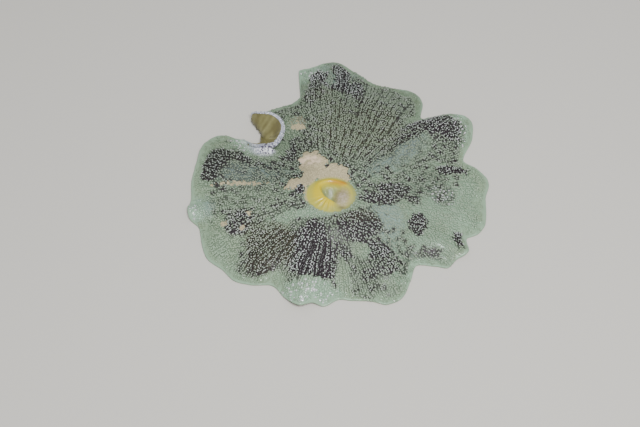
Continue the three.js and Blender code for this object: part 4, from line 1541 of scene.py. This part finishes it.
class Shader:
    """One material's nodes. A screen colour, three numbers from 0 to 255, may stand for a link."""

    def __init__(self, name: str) -> None:
        """Starts a material with an empty principled surface."""
        self.material = bpy.data.materials.new(name)
        self.material.use_nodes = True
        self.tree = self.material.node_tree
        self.surface = self.tree.nodes["Principled BSDF"]
        self.plan = self.node("ShaderNodeTexCoord", {}, {}).outputs["Object"]

    def feed(self, socket: bpy.types.NodeSocket, value: Link) -> None:
        """Links a value to a socket, or sets the socket to a number or a colour."""
        if isinstance(value, Value):
            value = value.socket
        if isinstance(value, bpy.types.NodeSocket):
            self.tree.links.new(value, socket)
        else:
            socket.default_value = linear(*value) if isinstance(value, tuple) else value

    def node(self, kind: str, settings: dict, inputs: dict[int | str, Link]) -> bpy.types.Node:
        """Adds a node.

        Args:
            kind: Type name of the node.
            settings: Its settings, set first.
            inputs: Values or links of its sockets.

        Returns:
            The node.
        """
        node = self.tree.nodes.new(kind)
        for name, value in settings.items():
            setattr(node, name, value)
        for key, value in inputs.items():
            self.feed(node.inputs[key], value)
        return node

    def mark(self, name: str) -> Value:
        """A mark stored on the mesh."""
        return Value(self, self.node("ShaderNodeAttribute", {"attribute_name": name}, {}).outputs["Fac"])

    def marks(self, *names: str) -> list[Value]:
        """Several marks stored on the mesh."""
        return [self.mark(name) for name in names]

    def noise(self, size: float, detail: float) -> Value:
        """Noise whose blotches are about `size` millimetres wide."""
        inputs = {"Vector": self.plan, "Scale": 1 / (size * MM), "Detail": detail, "Roughness": 0.5}
        return Value(self, self.node("ShaderNodeTexNoise", {}, inputs).outputs["Fac"])

    def grains(self, size: float) -> Value:
        """Distance to the nearest of scattered points about `size` millimetres apart."""
        node = self.node("ShaderNodeTexVoronoi", {}, {"Vector": self.plan, "Scale": 1 / (size * MM)})
        return Value(self, node.outputs["Distance"])

    def mix(self, share: Value | float, first: Link, second: Link) -> bpy.types.NodeSocket:
        """A colour between two."""
        inputs = {0: share, 6: first, 7: second}
        return self.node("ShaderNodeMix", {"data_type": "RGBA"}, inputs).outputs[2]

    def layered(self, color: Link, *layers: tuple[Value | float, Link]) -> Link:
        """A colour with others laid over it in turn, each by its share."""
        for share, other in layers:
            color = self.mix(share, color, other)
        return color

    def bump(self, height: Value, distance: float) -> bpy.types.NodeSocket:
        """A normal from a height of `distance` millimetres."""
        inputs = {"Height": height, "Distance": distance * MM, "Strength": 1.0}
        return self.node("ShaderNodeBump", {}, inputs).outputs[0]

    def finish(self, **sockets: Link) -> bpy.types.Material:
        """Joins values and links to the surface, by socket name with _ for a space."""
        for name, value in sockets.items():
            self.feed(self.surface.inputs[name.replace("_", " ")], value)
        return self.material


@dataclass(frozen=True)
class Palette:
    """Screen colours of the flesh."""

    sage: tuple = (137, 160, 133)
    sage_dim: tuple = (116, 128, 108)
    sage_light: tuple = (148, 179, 153)
    sage_blue: tuple = (138, 161, 154)
    sage_olive: tuple = (142, 150, 116)
    tip: tuple = (196, 208, 200)
    tip_bright: tuple = (232, 227, 236)
    gap_pale: tuple = (116, 134, 112)
    gap_dark: tuple = (46, 38, 43)
    gap_olive: tuple = (62, 60, 40)
    bare: tuple = (204, 192, 154)
    bare_dark: tuple = (156, 146, 116)
    bare_rosy: tuple = (236, 212, 184)
    band: tuple = (242, 244, 250)
    band_low: tuple = (132, 138, 146)
    band_mid: tuple = (158, 162, 180)
    tip_soft: tuple = (166, 180, 162)
    speck: tuple = (84, 92, 82)
    shade: tuple = (40, 46, 40)
    violet: tuple = (70, 58, 88)
    lip_pale: tuple = (181, 175, 73)
    lip_yellow: tuple = (208, 188, 34)
    lip_orange: tuple = (186, 130, 14)
    cavity: tuple = (146, 154, 104)
    pearl: tuple = (204, 212, 196)
    lump: tuple = (178, 164, 144)
    aboral: tuple = (140, 136, 90)
    aboral_dark: tuple = (108, 102, 64)
    aboral_pale: tuple = (168, 160, 116)


@dataclass(frozen=True)
class SkinFinish:
    """Wet skin: oral side under the coat, lips, throat and olive aboral side."""

    palette: Palette = Palette()

    def make(self) -> bpy.types.Material:
        """Builds the material."""
        p, s = self.palette, Shader("wet_skin")
        gaps, bare, band, margin, light = s.marks("gaps", "bare", "band", "margin", "light")
        blotch, fine = s.noise(14, 4), s.noise(1.6, 3)
        # The light mark lays painted light on the pale flesh, as a paler sage.
        pale = s.layered(p.gap_pale, (s.mark("blue"), p.sage_blue), (margin.between(0.1, 0.6), p.sage),
                         (light, p.sage_light))
        dark = s.mix(s.mark("olive") * 0.7, p.gap_dark, p.gap_olive)
        # The rosy colour where light falls on the bare skin is a painted highlight.
        sand = s.layered(p.bare_dark, (fine.between(0.3, 0.7), p.bare),
                         (light * s.noise(7, 3).between(0.35, 0.6), p.bare_rosy))
        inner = s.mix(s.mark("pearl") * 0.85, p.cavity, p.pearl)
        mauve = s.mix(s.noise(3, 3).between(0.35, 0.65), p.lump, p.bare_dark)
        lips = s.layered(p.lip_pale, (s.mark("ridge").between(0.12, 0.75), p.lip_yellow),
                         (s.mark("fire").between(0.2, 1.1), p.lip_orange), (s.mark("cavity"), inner),
                         (s.mark("lump"), mauve))
        # This mark holds the aboral streaks and also a painted shadow deep in the funnel.
        line = s.mark("streak") * 0.16 + blotch * 1.3 - 0.15
        back = s.layered(p.aboral_dark, (line.between(0.0, 0.9), p.aboral),
                         (line.between(0.6, 1.1) * 0.6, p.aboral_pale))
        # The mix towards the shade colour below is painted shade.
        color = s.layered(pale, (gaps.between(0.15, 0.6), dark), (bare.between(0.3, 0.5), sand),
                          (s.mark("dim") * 0.3, p.shade), (band, p.band), (s.mark("lip"), lips),
                          (s.mark("aboral"), back))
        normal = s.bump(fine * 0.6 + s.noise(4, 3) * 0.8, 0.35)
        wet = blotch.between(0.4, 0.65, 0.1, 0.4) * (1.0 - gaps)
        rough = fine.between(0.3, 0.7, 0.34, 0.5) + gaps * 0.4
        return s.finish(Base_Color=color, Roughness=rough, Specular_IOR_Level=0.35, Normal=normal,
                        Coat_Weight=wet, Coat_Roughness=0.14)


@dataclass(frozen=True)
class TentacleFinish:
    """Wet tentacles: dark at the root where the gaps are dark, partly as painted shade, pale at the
    swollen tip.
    """

    palette: Palette = Palette()

    def make(self) -> bpy.types.Material:
        """Builds the material."""
        p, s = self.palette, Shader("wet_tentacle")
        gaps, band, rise, tone = s.marks("gaps", "band", "rise", "tone")
        margin, olive, light, sunk = s.marks("margin", "olive", "light", "sunk")
        middling = gaps.between(0.16, 0.42) * gaps.between(0.62, 0.95, 1.0, 0.25)
        # Painted light makes the stalks paler where light falls.
        stalk = s.layered(p.sage, (s.mark("blue") * 0.8, p.sage_blue),
                          (olive * gaps.between(0.1, 0.6) * 0.55, p.sage_olive),
                          (s.noise(30, 3).between(0.35, 0.7) * 0.3, p.sage_olive),
                          (light * s.noise(40, 2).between(0.38, 0.6, 0.4, 1.0), p.sage_light),
                          (middling * 0.85, p.sage_dim))
        tip = s.layered(p.tip_soft, (gaps.between(0.5, 0.85), p.tip),
                        ((tone ** 1.5) * gaps.between(0.3, 0.85), p.tip_bright),
                        (olive * 0.4, p.sage_olive))
        # The dark root colour low down is partly the flesh's own and partly painted shade between the
        # tentacles.
        root = s.mix(gaps.between(0.15, 0.6), p.gap_pale, p.gap_dark)
        body = s.mix(rise.between(0.5, 1.0) * (0.12 + tone * 0.3 + gaps * 0.5), stalk, tip)
        low = gaps.between(0.1, 0.8, 0.0, 0.6)
        shade = sunk * 0.75 + tone.between(0.0, 0.25, 1.0, 0.0) * gaps.between(0.3, 0.9) * 0.6
        # Painted glints: near-white tips where painted light falls.
        glint = light.between(0.6, 0.9) * tone.between(0.68, 0.84) * rise.between(0.5, 0.9)
        # The band's tentacles are darker low down: painted shade between them.
        rim = s.layered(p.band_low, (rise.between(0.3, 0.95), p.band),
                        (tone.between(0.35, 0.7) * 0.8, p.band_mid),
                        (s.noise(3, 2).between(0.44, 0.6) * 0.75, p.band_mid), (sunk * 0.9, p.violet))
        speck = s.grains(5).between(0.1, 0.2, 1.0, 0.0) * s.noise(30, 2).between(0.45, 0.6)
        # tip_bright is laid on below as painted glints, and the shade colour as painted shade.
        color = s.layered(root, ((rise - low).between(0.0, 0.3), body), (shade, root),
                          (margin.between(0.2, 0.8), stalk), (glint * 0.8, p.tip_bright),
                          (s.mark("dim") * 0.3, p.shade), (band, rim),
                          (speck * margin.between(0.1, 0.6) * (0.6 - band * 0.6), p.speck),
                          (s.noise(90, 2).between(0.4, 0.65) * (0.25 - band * 0.25), p.sage_dim))
        normal = s.bump(s.noise(1.1, 2), 0.18)
        wet = margin * 0.3 + light * 0.3 + 0.04 + band * 0.6
        return s.finish(Base_Color=color, Roughness=rise.between(0.4, 1.0, 0.7, 0.38),
                        Specular_IOR_Level=0.3, Normal=normal, Coat_Weight=wet, Coat_Roughness=0.12)


@dataclass(frozen=True)
class FloorFinish:
    """Plain pale floor."""

    color: tuple = (206, 203, 196)

    def make(self) -> bpy.types.Material:
        """Builds the material."""
        return Shader("pale_floor").finish(Base_Color=self.color, Roughness=0.85)


# ---- Studio -------------------------------------------------------------------------------------


@dataclass(frozen=True)
class Studio:
    """Plain floor, soft light and the camera."""

    floor_size: float = 6.0
    camera_place: tuple[float, float, float] = (-0.013275, -0.61184, 1.03129)
    camera_tilt: float = 30.0
    lens: float = 50.35
    sky_color: tuple[float, ...] = (0.96, 0.98, 1.0, 1.0)
    sky_strength: float = 0.43
    key_power: float = 62.0
    key_size: float = 0.7
    key_place: tuple[float, float, float] = (0.3, -0.8, 2.1)

    def build(self) -> None:
        """Makes the floor, the lights and the camera."""
        clear_selection()
        bpy.ops.mesh.primitive_plane_add(size=self.floor_size)
        floor = bpy.context.object
        floor.name = floor.data.name = "floor"
        floor.data.materials.append(FloorFinish().make())
        self.light("key", self.key_place, self.key_power, self.key_size)
        world = bpy.data.worlds.new("sky")
        world.use_nodes = True
        sky = world.node_tree.nodes["Background"].inputs
        sky["Color"].default_value = self.sky_color
        sky["Strength"].default_value = self.sky_strength
        bpy.context.scene.world = world
        lens = bpy.data.cameras.new("camera")
        lens.lens, lens.sensor_width = self.lens, 36.0
        camera = bpy.data.objects.new("camera", lens)
        camera.location = self.camera_place
        camera.rotation_euler = (math.radians(self.camera_tilt), 0, 0)
        bpy.context.scene.collection.objects.link(camera)
        bpy.context.scene.camera = camera

    def light(self, name: str, place: tuple[float, float, float], power: float, size: float) -> None:
        """Makes a soft square light that faces the animal."""
        lamp = bpy.data.lights.new(name, "AREA")
        lamp.energy, lamp.size = power, size
        holder = bpy.data.objects.new(name, lamp)
        holder.location = place
        holder.rotation_euler = (-Vector(place)).to_track_quat("-Z", "Y").to_euler()
        bpy.context.scene.collection.objects.link(holder)


def dress(piece: bpy.types.Object, material: bpy.types.Material) -> None:
    """Gives a piece its material and its body."""
    piece.data.materials.clear()
    piece.data.materials.append(material)
    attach(piece, BODY)


def main() -> None:
    """Builds the animal and its studio."""
    logging.basicConfig(level=logging.INFO, format="%(name)s: %(message)s")
    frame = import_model()
    disc = Disc()
    curl = Curl(disc)
    markings = Markings(disc, curl)
    skin_maker = Skin(disc, curl, markings)
    skin = skin_maker.build()
    dress(skin, SkinFinish().make())
    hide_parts(*frame["nodes"])
    LOG.info("skin: %d faces", len(skin.data.polygons))
    finish = TentacleFinish().make()
    for piece in Coat(disc, curl, markings, skin_maker).build():
        dress(piece, finish)
    Studio().build()


if __name__ == "__main__":
    main()
